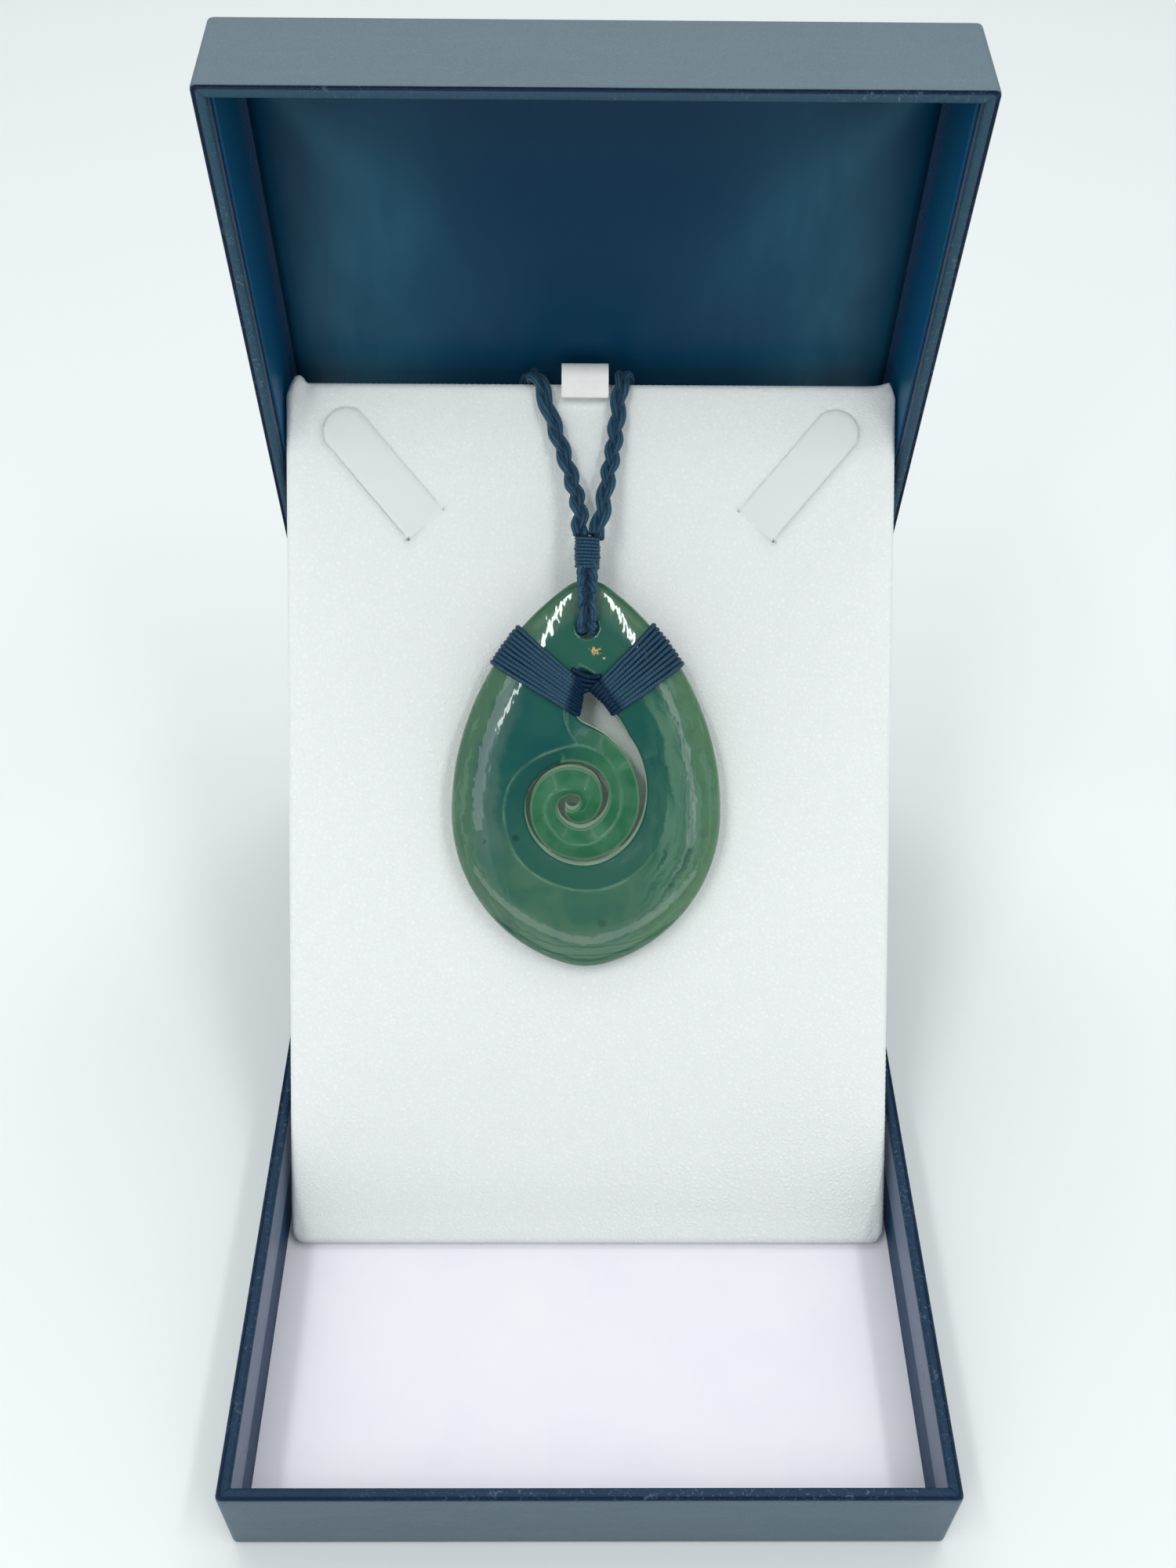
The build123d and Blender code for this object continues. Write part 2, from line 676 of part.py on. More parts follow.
def strand_route(side):
    """One strand's corners, from the whipping over the pad's edge to the clasp, and its fixed radii."""
    left = side < 0
    on_pad = LEFT_ON_PAD if left else RIGHT_ON_PAD
    behind = LEFT_BEHIND if left else RIGHT_BEHIND
    over = LEFT_OVER_EDGE if left else RIGHT_OVER_EDGE
    back_of = LEFT_BEHIND_EDGE if left else RIGHT_BEHIND_EDGE
    _, high = whipping_span()
    rest = CORD_RADIUS + CORD_REST_GAP
    route = [stone_point(side * STRAND_SPACING / 2, high, 0)]
    route += [pad_point(p.x, p.y, p.z) for p in on_pad]
    over_corner = pad_point(over, PAD_LENGTH + rest, rest)
    edge = pad_point(0, PAD_LENGTH, -PAD_THICKNESS)
    back_run = (edge.Y + rest - over_corner.Y) / -PAD_NORMAL.Y
    back_corner = pad_point(back_of, PAD_LENGTH + rest, rest - back_run)
    route += [over_corner, back_corner]
    route += [Vector(p.x, FRONT + p.y, p.z) for p in behind]
    height = FLOOR_TOP + CORD_REST_GAP + CLASP_DIAMETER / 2
    along = CLASP_LENGTH / 2
    clasp_y = FRONT + CLASP_FROM_FRONT
    route.append(Vector(side * (along + CLASP_LEAD), clasp_y, height))
    route.append(Vector(side * along, clasp_y, height))
    over_index = 1 + len(on_pad)
    fixed = {over_index: CORD_DIAMETER * 1.02, over_index + 1: CORD_DIAMETER * 1.05}
    return route, fixed


def tube(name, points, fixed):
    """A cord along straight runs joined by arcs as large as the runs allow. Prints its radii and volume."""
    points = [Vector(*p) for p in points]
    runs = [(b - a).length for a, b in zip(points, points[1:])]
    radii = []
    for k in range(1, len(points) - 1):
        turn = (points[k] - points[k - 1]).get_angle(points[k + 1] - points[k])
        free = 0.45 * min(runs[k - 1], runs[k]) / math.tan(math.radians(turn / 2))
        radii.append(fixed.get(k, free))
    path = FilletPolyline(*points, radius=radii)
    section = Plane(origin=path @ 0, z_dir=path % 0) * Circle(CORD_RADIUS)
    solid = sweep(section, path=path)
    want = math.pi * CORD_RADIUS**2 * path.length
    print(name, "length", round(path.length, 1), "radii", [round(r, 1) for r in radii])
    print(name, "runs", [round(r, 1) for r in runs], "volume", round(solid.volume, 1), "of", round(want, 1))
    return solid


def make_bail():
    corners = [stone_point(*p) for p in bail_route()]
    return tube("bail_cord", corners, {2: BAIL_BEND, 3: BAIL_BEND})


def make_strand(name, side):
    route, fixed = strand_route(side)
    return tube(name, route, fixed)


def make_clasp():
    height = FLOOR_TOP + CORD_REST_GAP + CLASP_DIAMETER / 2
    barrel = Cylinder(CLASP_DIAMETER / 2, CLASP_LENGTH)
    barrel = fillet(barrel.edges(), CLASP_DIAMETER / 8)
    return Pos(0, FRONT + CLASP_FROM_FRONT, height) * Rot(0, 90, 0) * barrel


def main():
    os.makedirs("parts", exist_ok=True)
    print("lid opening", round(LID_ANGLE, 3), "hinge at", AXIS_Y, AXIS_Z)
    export_step(make_base(), "parts/base_shell.step")
    export_step(make_floor_card(), "parts/floor_card.step")
    export_step(make_lid_shell(), "parts/lid_shell.step")
    export_step(make_wall_lining(), "parts/lid_wall_lining.step")
    export_step(make_satin_panel(), "parts/lid_satin_panel.step")
    export_step(make_hinge_cover(), "parts/hinge_cover.step")
    export_step(make_pad(), "parts/display_pad.step")
    export_step(make_tab(), "parts/hanging_tab.step")
    export_step(STONE * make_stone(), "parts/koru_pendant.step")
    export_step(make_lashing(LEFT_BAND), "parts/lashing_left.step")
    export_step(make_lashing(RIGHT_BAND), "parts/lashing_right.step")
    export_step(make_whipping(), "parts/cord_whipping.step")
    export_step(make_bail(), "parts/bail_cord.step")
    export_step(make_strand("neck_cord_left", -1), "parts/neck_cord_left.step")
    export_step(make_strand("neck_cord_right", 1), "parts/neck_cord_right.step")
    export_step(make_clasp(), "parts/cord_clasp.step")


main()
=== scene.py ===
"""Looks for a koru pendant on its plaited cord, shown on the pad of a hinged gift box.

Every length in the tables and sizes is in millimetres. Three frames are used:
the row frame (origin under the middle of the base, +X right, +Y to the hinge,
+Z up), the pad frame (across, up the pad, out of its face) and the stone frame
(across, up the stone, out of its face, from the stone's middle).
"""

from __future__ import annotations

import json
import logging
import math
from dataclasses import astuple, dataclass
from enum import Enum
from functools import cached_property

import bmesh
import bpy
import numpy as np
from bpy.types import Material, Mesh, NodeSocket, NodeTree, Object
from mathutils import Matrix, Vector, geometry, kdtree

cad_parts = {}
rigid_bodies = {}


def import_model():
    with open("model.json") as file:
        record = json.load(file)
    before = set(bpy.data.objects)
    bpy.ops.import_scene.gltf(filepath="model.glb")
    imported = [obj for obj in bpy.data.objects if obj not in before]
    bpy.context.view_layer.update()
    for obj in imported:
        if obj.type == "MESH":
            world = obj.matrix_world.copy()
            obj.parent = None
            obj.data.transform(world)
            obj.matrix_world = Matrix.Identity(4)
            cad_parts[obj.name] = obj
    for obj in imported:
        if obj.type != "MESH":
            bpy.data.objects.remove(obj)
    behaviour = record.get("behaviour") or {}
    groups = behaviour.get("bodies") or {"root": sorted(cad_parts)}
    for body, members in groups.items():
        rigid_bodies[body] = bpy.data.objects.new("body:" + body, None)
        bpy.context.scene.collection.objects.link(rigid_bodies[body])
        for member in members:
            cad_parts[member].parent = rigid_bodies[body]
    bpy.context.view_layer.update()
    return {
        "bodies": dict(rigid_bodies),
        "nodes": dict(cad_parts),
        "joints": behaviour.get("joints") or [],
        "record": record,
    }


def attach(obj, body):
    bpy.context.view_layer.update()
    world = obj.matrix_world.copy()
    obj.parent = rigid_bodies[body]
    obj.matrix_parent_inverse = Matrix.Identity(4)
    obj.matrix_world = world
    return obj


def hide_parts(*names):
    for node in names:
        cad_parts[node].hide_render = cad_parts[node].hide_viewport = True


LOG = logging.getLogger("koru_pendant")
MM = 0.001
SEED = 7
# Steps along threads and strands, and along the edges that distances are taken from
THREAD_STEP, STRAND_STEP, EDGE_STEP = 0.2, 0.32, 0.05
# Corners of the sections of threads, of a cord's plies and of the whipping's core
THREAD_SIDES, PLY_SIDES, CORE_SIDES = 10, 14, 20
# Turns from which an edge is sharp, in general and on the wrapped board
SHARP_TURN, SHARP_WRAP_TURN = math.radians(40), math.radians(55)
Value = NodeSocket | float | tuple


class Body(str, Enum):
    """Bodies that a piece can ride on."""

    BASE = "base"
    LID = "lid"


class Slot(str, Enum):
    """Material slots of the record."""

    STONE = "green_stone"
    CORD = "plaited_cord"
    THREAD = "waxed_thread"
    CLASP = "clasp_metal"
    WRAP = "box_wrap"
    PAD = "white_leatherette"
    RIBBON = "white_ribbon"
    CARD = "white_card"
    LINER = "dark_liner"
    SATIN = "dark_satin"


class Side(Enum):
    """Left or right of the pendant, as the viewer sees it."""

    LEFT = -1
    RIGHT = 1


# ---- Tables of the carving, the lashings and the cord


@dataclass(frozen=True)
class SlotRow:
    """The slot and its bevels at one angle, clockwise from up, as radii from the eye."""

    angle: float
    outer: float
    inner: float
    outer_ridge: float
    inner_ridge: float


SLOT = [
    SlotRow(*row)
    for row in (
        (40, 13.4, 11.1, 18.5, 8.05), (60, 12.4, 10.65, 16.1, 7.65), (80, 11.6, 10.36, 14.9, 7.45),
        (100, 11.15, 10.25, 14.6, 7.35), (130, 10.75, 9.9, 14.65, 7.0), (160, 10.3, 9.3, 14.15, 6.7),
        (190, 9.35, 8.5, 13.0, 6.0), (220, 8.35, 7.65, 12.1, 5.05), (250, 7.6, 6.8, 10.9, 4.5),
        (280, 7.08, 6.3, 10.15, 3.65), (310, 6.62, 5.88, 9.15, 2.9), (340, 6.33, 5.53, 8.55, 2.4),
        (370, 6.27, 5.38, 8.95, 2.38), (400, 6.24, 5.28, 8.45, 2.68), (430, 5.87, 4.84, 7.65, 2.62),
        (460, 5.37, 4.4, 7.34, 2.36), (490, 4.8, 4.05, 7.0, 2.0), (520, 4.27, 3.5, 6.7, 1.75),
        (550, 3.5, 2.75, 6.0, 1.55), (580, 2.92, 1.8, 5.05, 1.47), (610, 2.4, 1.12, 4.5, 1.3),
        (640, 1.85, 1.12, 3.65, 1.2), (670, 1.35, 1.12, 2.9, 1.2), (700, 1.13, 1.12, 2.4, 1.2),
        (760, 1.12, 1.12, 2.65, 1.2), (820, 1.12, 1.12, 2.36, 1.2), (880, 1.12, 1.12, 1.75, 1.2),
        (970, 1.12, 1.12, 1.3, 1.2),
    )
]

# Places, reach and depth of the small dark and gold inclusions in the stone frame
DARK_SPOTS = ((-10.8, -9.3, 0.55, 0.7), (-15.5, -9.9, 0.45, 0.6), (-12.6, -23.4, 1.9, 0.4), (2.4, -22.6, 0.8, 0.35))
GOLD_SPOTS = ((1.25, 19.25, 0.92), (2.6, 18.15, 0.34))
SLOT_COLUMNS = ("outer", "inner", "outer_ridge", "inner_ridge")
# Angles where the slot starts, where it ends in the eye, and where the table ends
SLOT_FIRST, SLOT_LAST, EYE_LAST = 40.0, 610.0, 970.0


@dataclass(frozen=True)
class MouthRow:
    """A point of the mouth's edge in the stone frame, with its bevel's reach and share of the depth."""

    x: float
    y: float
    reach: float
    depth: float = 1.0


# From the slot's outer edge up the right arm, over the top and down the left arm
MOUTH = [
    MouthRow(*row)
    for row in (
        (6.0, 7.4, 4.8), (4.9, 9.2, 4.2, 1.0), (3.7, 10.3, 3.0, 1.4), (2.6, 11.6, 2.3, 1.7),
        (1.7, 12.9, 2.0, 1.7), (0.95, 14.4, 2.0, 1.7), (0.15, 15.6, 2.0, 1.6), (-0.55, 14.6, 1.8, 1.7),
        (-0.95, 13.2, 1.8, 1.7), (-1.3, 11.6, 1.8, 1.7), (-1.6, 10.2, 1.8, 1.3), (-1.5, 9.1, 2.0, 0.9),
        (-0.6, 8.3, 2.9, 0.85), (0.85, 7.6, 3.1), (2.9, 6.42, 3.2),
    )
]


@dataclass(frozen=True)
class Band:
    """Ends of a lashing's first and last turn in the stone frame: on the mouth and towards the outline."""

    towards_top: tuple
    towards_foot: tuple
    inner_top: tuple
    inner_foot: tuple

    def turn_at(self, share: float) -> tuple:
        """Returns where a turn crosses the mouth's edge and its direction, at a share of the band's width.

        Args:
            share: 0 at the first turn, 1 at the last.

        Returns:
            The place and the unit direction.
        """
        inner = np.array(self.inner_top) * (1 - share) + np.array(self.inner_foot) * share
        towards = np.array(self.towards_top) * (1 - share) + np.array(self.towards_foot) * share
        return inner, (towards - inner) / np.linalg.norm(towards - inner)

    def hanging_turns(self) -> list:
        """Draws the turns that hang into the mouth beside the right arm.

        Returns:
            One line per turn.
        """
        turns = []
        for share in np.arange(8) / 8:
            inner, out = self.turn_at(share)
            into = 0.95 * (1 - share)
            path = [(0.9, 2.7), (0.2, 2.5), (-into * 0.7, 1.9), (-into, 1.0), (-into, 0.2)]
            turns.append(smooth_line(np.array([(*(inner + out * run), z) for run, z in path]), THREAD_STEP))
        return turns


BANDS = {
    Side.LEFT: Band((-10.1, 22.2), (-14.05, 17.2), (-0.75, 14.3), (-1.56, 9.7)),
    Side.RIGHT: Band((9.8, 22.6), (14.2, 17.0), (1.29, 13.9), (4.25, 9.9)),
}
# Chosen points of the strands: in the pad frame, then over its top edge as two places across, then in the
# row frame with y from the box's front
ON_PAD = {
    Side.LEFT: [
        (-1.6, 114.8, 5.3), (-2.75, 119.4, 3.6), (-4.3, 124.4, 2.15), (-6.1, 129.6, 1.5),
    ],
    Side.RIGHT: [
        (1.65, 114.8, 5.3), (2.35, 119.6, 3.6), (3.35, 124.6, 2.15), (3.95, 129.8, 1.5),
    ],
}
OVER_EDGE = {Side.LEFT: (-8.4, -9.9), Side.RIGHT: (4.7, 5.6)}
BEHIND = {
    Side.LEFT: [
        (-10.9, 136.9, 96.0), (-12.6, 136.2, 82.0), (-15.0, 135.6, 56.0), (-19.4, 133.9, 28.0),
        (-22.0, 130.7, 14.0), (-24.4, 124.6, 6.2), (-27.6, 115.2, 3.35), (-31.8, 100.0, 3.35),
        (-33.4, 83.0, 3.35), (-29.6, 68.6, 3.35), (-20.4, 60.4, 3.6),
    ],
    Side.RIGHT: [
        (6.6, 136.9, 96.0), (8.2, 136.2, 82.0), (12.0, 135.5, 56.0), (17.2, 133.8, 28.0),
        (20.4, 130.6, 14.0), (23.2, 124.4, 6.2), (27.0, 115.0, 3.35), (32.4, 100.4, 3.35),
        (34.2, 84.0, 3.35), (29.4, 69.2, 3.35), (19.8, 60.2, 3.6),
    ],
}
# Turns of the left lashing that cross the mouth, in the stone frame
CROSSINGS = [
    [(-2.2, 16.5, 3.35), (-1.2, 15.9, 2.7), (0.2, 15.35, 2.1), (1.2, 15.3, 2.6), (2.0, 15.5, 3.3)],
    [(-2.4, 15.6, 3.3), (-1.2, 15.1, 2.4), (0.2, 14.7, 1.7), (1.5, 14.6, 2.2), (2.5, 14.8, 3.2)],
    [(-2.4, 14.8, 3.2), (-1.2, 14.3, 2.1), (0.2, 13.95, 1.4), (1.7, 13.8, 1.9), (2.9, 14.1, 3.1)],
    [(-2.5, 14.0, 3.1), (-1.3, 13.6, 1.8), (0.1, 13.3, 1.1), (1.9, 13.1, 1.6), (3.3, 13.4, 3.0)],
    [(-1.4, 15.6, 1.4), (-0.2, 14.9, 0.9), (0.5, 14.7, 0.8), (1.3, 15.0, 1.3)],
    [(-1.4, 14.6, 1.0), (-0.3, 13.9, 0.5), (0.6, 13.8, 0.4), (1.6, 14.0, 0.9)],
    [(-1.3, 13.4, 0.6), (-0.7, 12.9, 0.1), (0.3, 13.2, -0.1), (1.5, 13.1, 0.5)],
]


# ---- Mesh helpers


def frame_of(axes: tuple, origin: Vector) -> Matrix:
    """Makes a frame's matrix from its three axes and its origin."""
    return Matrix([[a[i] for a in axes] + [origin[i]] for i in range(3)] + [[0, 0, 0, 1]])


def to_row(points: np.ndarray, matrix: Matrix) -> np.ndarray:
    """Moves points from a frame in millimetres to the row frame in metres.

    Args:
        points: One row per point.
        matrix: The frame's place, in millimetres.

    Returns:
        The points in metres.
    """
    m = np.array(matrix)
    return (points @ m[:3, :3].T + m[:3, 3]) * MM


def link_new(name: str, data: bpy.types.ID) -> Object:
    """Makes an object of a mesh, a camera or a light and links it.

    Args:
        name: The object's name.
        data: Its mesh, camera or light.

    Returns:
        The object.
    """
    obj = bpy.data.objects.new(name, data)
    bpy.context.scene.collection.objects.link(obj)
    return obj


def dress(obj: Object, slot: Slot) -> None:
    """Gives a piece its slot and the slot's finish.

    Args:
        obj: The piece.
        slot: Its slot in the record.
    """
    obj.data.materials.clear()
    obj.data.materials.append(LOOKS[slot])


def add_piece(name: str, mesh: Mesh, slot: Slot, body: Body, node: str) -> Object:
    """Args:
        name: The piece's name.
        mesh: Its mesh, in the row frame, in metres.
        slot: Its slot in the record, which gives its finish.
        body: The body that it rides on.
        node: The solid that it stands for.

    Returns:
        The new object.
    """
    obj = link_new(name, mesh)
    dress(obj, slot)
    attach(obj, body.value)
    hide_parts(node)
    LOG.info("%s: %d faces", name, len(mesh.polygons))
    return obj


def mesh_of(name: str, points: np.ndarray, faces: list) -> Mesh:
    """Makes a mesh from points in metres.

    Args:
        name: The mesh's name.
        points: One row per vertex.
        faces: Vertex numbers of each face.

    Returns:
        The mesh.
    """
    mesh = bpy.data.meshes.new(name)
    mesh.from_pydata([tuple(p) for p in points], [], [list(map(int, f)) for f in faces])
    mesh.validate()
    mesh.shade_smooth()
    return mesh


def store(mesh: Mesh, name: str, values: np.ndarray) -> None:
    """Stores one number per vertex on a mesh."""
    attribute = mesh.attributes.new(name, "FLOAT", "POINT")
    attribute.data.foreach_set("value", np.asarray(values, np.float32))


def mesh_from_bmesh(name: str, bm: bmesh.types.BMesh, matrix: Matrix) -> Mesh:
    """Turns a bmesh in millimetres into a mesh in the row frame.

    Args:
        name: The mesh's name.
        bm: The bmesh, which is freed.
        matrix: Its frame's place, in millimetres.

    Returns:
        The mesh, with edges sharp where they turn by more than 40 degrees.
    """
    bm.transform(Matrix.Scale(MM, 4) @ matrix)
    bmesh.ops.recalc_face_normals(bm, faces=bm.faces)
    for face in bm.faces:
        face.smooth = True
    for edge in bm.edges:
        edge.smooth = len(edge.link_faces) == 2 and edge.calc_face_angle(0) < SHARP_TURN
    mesh = bpy.data.meshes.new(name)
    bm.to_mesh(mesh)
    bm.free()
    return mesh


def drop_loose(mesh: Mesh) -> None:
    """Removes vertices that no face uses, and closes hairline gaps.

    Args:
        mesh: The mesh.
    """
    bm = bmesh.new()
    bm.from_mesh(mesh)
    bmesh.ops.delete(bm, geom=[v for v in bm.verts if not v.link_faces], context="VERTS")
    bmesh.ops.remove_doubles(bm, verts=bm.verts, dist=1e-7)
    bmesh.ops.recalc_face_normals(bm, faces=bm.faces)
    bm.to_mesh(mesh)
    bm.free()


def tube(points: np.ndarray, radius: float | np.ndarray, sides: int, start_normal: tuple | None = None) -> tuple:
    """Sweeps a round section along points with a frame that doesn't twist.

    Args:
        points: The centreline, one row per point.
        radius: One radius, or one for each point.
        sides: Corners of the section.
        start_normal: A direction that the section's first corner looks in.

    Returns:
        Points, faces and the length along the tube at each point.
    """
    count = len(points)
    tangents = unit_rows(np.gradient(points, axis=0))
    normals = parallel_frames(tangents, start_normal)
    sideways = np.cross(tangents, normals)
    turn = np.linspace(0, 2 * math.pi, sides, endpoint=False)
    radii = np.broadcast_to(np.asarray(radius, float), (count,))
    ring = normals[:, None] * np.cos(turn)[None, :, None] + sideways[:, None] * np.sin(turn)[None, :, None]
    verts = (points[:, None] + ring * radii[:, None, None]).reshape(-1, 3)
    starts = [(i * sides, k, (k + 1) % sides) for i in range(count - 1) for k in range(sides)]
    faces = [(a + k, a + sides + k, a + sides + m, a + m) for a, k, m in starts]
    faces.append(tuple(range(sides)))
    faces.append(tuple((count - 1) * sides + k for k in reversed(range(sides))))
    return verts, faces, lengths_along(points)


def unit_rows(rows: np.ndarray) -> np.ndarray:
    """Scales each row to length 1."""
    return rows / np.linalg.norm(rows, axis=1)[:, None]


def lengths_along(points: np.ndarray) -> np.ndarray:
    """Returns the length of a line up to each of its points."""
    return np.concatenate([[0], np.cumsum(np.linalg.norm(np.diff(points, axis=0), axis=1))])


def ease(share: np.ndarray) -> np.ndarray:
    """Eases a share of 0 to 1 in and out."""
    return share * share * (3 - 2 * share)


def round_over(distance: np.ndarray, radius: float) -> np.ndarray:
    """Returns how far a rounded edge falls at distances from it."""
    inset = np.clip(1 - distance / radius, 0, 1)
    return radius * (1 - np.sqrt(np.clip(1 - inset**2, 0, 1)))


def parallel_frames(tangents: np.ndarray, start_normal: tuple | None) -> np.ndarray:
    """Carries one normal along a line without twist.

    Args:
        tangents: Unit directions along the line.
        start_normal: The first normal, or None for any.

    Returns:
        One normal per tangent.
    """
    first = tangents[0]
    guess = np.array(start_normal if start_normal is not None else (0.31, 0.2, 0.93), float)
    normal = guess - first * (guess @ first)
    normal /= np.linalg.norm(normal)
    normals = [normal]
    for t in tangents[1:]:
        normal = normal - t * (normal @ t)
        normal = normal / np.linalg.norm(normal)
        normals.append(normal)
    return np.array(normals)


def join_tubes(tubes: list) -> tuple:
    """Joins several tubes' points and faces.

    Args:
        tubes: Results of tube().

    Returns:
        Points, faces, and for each point the length along its tube and its turn.
    """
    verts, faces, lengths, turns = [], [], [], []
    start = 0
    for points, quads, along in tubes:
        sides = len(points) // len(along)
        verts.append(points)
        faces += [tuple(v + start for v in f) for f in quads]
        lengths.append(np.repeat(along, sides))
        turns.append(np.tile(np.arange(sides) / sides, len(along)))
        start += len(points)
    return np.vstack(verts), faces, np.concatenate(lengths), np.concatenate(turns)


def add_fibre_uv(mesh: Mesh, along: np.ndarray, turn: np.ndarray) -> None:
    """Gives a tube mesh a UV map: millimetres along it, and turns round it.

    Args:
        mesh: The mesh.
        along: Millimetres along its tube, per vertex.
        turn: Share of a turn round its tube, per vertex.
    """
    layer = mesh.uv_layers.new(name="fibre")
    for polygon in mesh.polygons:
        turns = [turn[mesh.loops[i].vertex_index] for i in polygon.loop_indices]
        wrap = max(turns) - min(turns) > 0.5
        for i, t in zip(polygon.loop_indices, turns):
            v = t + 1 if wrap and t < 0.5 else t
            layer.data[i].uv = (float(along[mesh.loops[i].vertex_index]), float(v))


def smooth_line(points: np.ndarray | list, step: float) -> np.ndarray:
    """Draws a smooth line through points at about equal steps.

    Args:
        points: The points it passes.
        step: Distance between its samples.

    Returns:
        The samples.
    """
    p = np.asarray(points, float)
    out = []
    for i, (a, b) in enumerate(zip(p, p[1:])):
        before = p[i - 1] if i > 0 else 2 * a - b
        after = p[i + 2] if i + 2 < len(p) else 2 * b - a
        k = max(2, int(round(np.linalg.norm(b - a) / step)))
        square, cube = 2 * before - 5 * a + 4 * b - after, 3 * a - 3 * b + after - before
        out += [0.5 * (2 * a + (b - before) * t + square * t * t + cube * t**3) for t in np.arange(k) / k]
    return np.array([*out, p[-1]])


def fillet_line(points: list, radii: list, step: float) -> np.ndarray:
    """Samples straight runs joined by arcs.

    Args:
        points: The corners.
        radii: One radius for each inner corner.
        step: Distance between samples.

    Returns:
        The samples.
    """
    pts = [Vector(p) for p in points]
    line = [pts[0]]
    for k in range(1, len(pts) - 1):
        to_a = (pts[k - 1] - pts[k]).normalized()
        to_b = (pts[k + 1] - pts[k]).normalized()
        half = to_a.angle(to_b) / 2
        cut = radii[k - 1] / math.tan(half)
        centre = pts[k] + (to_a + to_b).normalized() * (radii[k - 1] / math.sin(half))
        start, end = pts[k] + to_a * cut - centre, pts[k] + to_b * cut - centre
        sweep = start.angle(end)
        count = max(2, int(math.ceil(sweep * radii[k - 1] / step)))
        axis = start.cross(end).normalized()
        for i in range(count + 1):
            line.append(centre + Matrix.Rotation(sweep * i / count, 3, axis) @ start)
    line.append(pts[-1])
    dense = np.array([tuple(p) for p in line])
    lengths = lengths_along(dense)
    samples = np.linspace(0, lengths[-1], int(lengths[-1] / step) + 1)
    return np.column_stack([np.interp(samples, lengths, dense[:, i]) for i in range(3)])


def route_line(corners: list, fixed: dict, step: float) -> np.ndarray:
    """Rounds a route's corners as far as its runs allow.

    Args:
        corners: The corners.
        fixed: Chosen radii by corner number.
        step: Distance between samples.

    Returns:
        The samples, in millimetres.
    """
    runs = [(b - a).length for a, b in zip(corners, corners[1:])]
    radii = []
    for k in range(1, len(corners) - 1):
        turn = (corners[k] - corners[k - 1]).angle(corners[k + 1] - corners[k])
        free = 0.45 * min(runs[k - 1], runs[k]) / math.tan(turn / 2)
        radii.append(fixed.get(k, free))
    return fillet_line(corners, radii, step)


def grid_faces(columns: int, rows: int) -> list:
    """Lists the faces of a grid of points that runs row by row."""
    corners = [j * columns + i for j in range(rows - 1) for i in range(columns - 1)]
    return [(a, a + 1, a + columns + 1, a + columns) for a in corners]


def grid_border(columns: int, rows: int) -> list:
    """Lists a grid's border points, once round.

    Args:
        columns: Points across.
        rows: Points up.

    Returns:
        Their numbers.
    """
    border = [*range(columns), *(j * columns + columns - 1 for j in range(1, rows))]
    border += [(rows - 1) * columns + i for i in range(columns - 2, -1, -1)]
    return border + [j * columns for j in range(rows - 2, 0, -1)]


def inside(points: np.ndarray, loops: tuple | list) -> np.ndarray:
    """Even-odd test of points against closed loops.

    Args:
        points: One row of x, y per point.
        loops: Closed loops of x, y rows.

    Returns:
        True where a point is inside an odd number of loops.
    """
    odd = np.zeros(len(points), bool)
    for loop in loops:
        a, b = loop, np.roll(loop, -1, 0)
        for (x0, y0), (x1, y1) in zip(a, b):
            if y0 == y1:
                continue
            crosses = (points[:, 1] >= min(y0, y1)) & (points[:, 1] < max(y0, y1))
            reach = x0 + (points[:, 1] - y0) * (x1 - x0) / (y1 - y0)
            odd ^= crosses & (points[:, 0] < reach)
    return odd


def nearest(points: np.ndarray, targets: np.ndarray) -> tuple:
    """Finds each point's nearest target.

    Args:
        points: Rows of x, y.
        targets: Rows of x, y.

    Returns:
        Distances and the targets' numbers.
    """
    tree = kdtree.KDTree(len(targets))
    for i, t in enumerate(targets):
        tree.insert((t[0], t[1], 0), i)
    tree.balance()
    found = [tree.find((p[0], p[1], 0)) for p in points]
    return np.array([f[2] for f in found]), np.array([f[1] for f in found])


def resample(loop: np.ndarray, step: float) -> np.ndarray:
    """Spaces a closed loop's points evenly.

    Args:
        loop: The loop.
        step: About the distance between its points.

    Returns:
        The new points.
    """
    closed = np.vstack([loop, loop[:1]])
    lengths = lengths_along(closed)
    count = max(8, int(round(lengths[-1] / step)))
    samples = np.linspace(0, lengths[-1], count, endpoint=False)
    return np.column_stack([np.interp(samples, lengths, closed[:, i]) for i in range(2)])


def inward(loop: np.ndarray, into: bool) -> np.ndarray:
    """Unit normals of a closed loop.

    Args:
        loop: The loop.
        into: True for normals into the loop, False for out of it.

    Returns:
        One normal per point.
    """
    along = unit_rows(np.roll(loop, -1, 0) - np.roll(loop, 1, 0))
    area = np.sum(loop[:, 0] * np.roll(loop[:, 1], -1) - np.roll(loop[:, 0], -1) * loop[:, 1])
    sign = 1.0 if (area > 0) == into else -1.0
    return sign * np.column_stack([-along[:, 1], along[:, 0]])


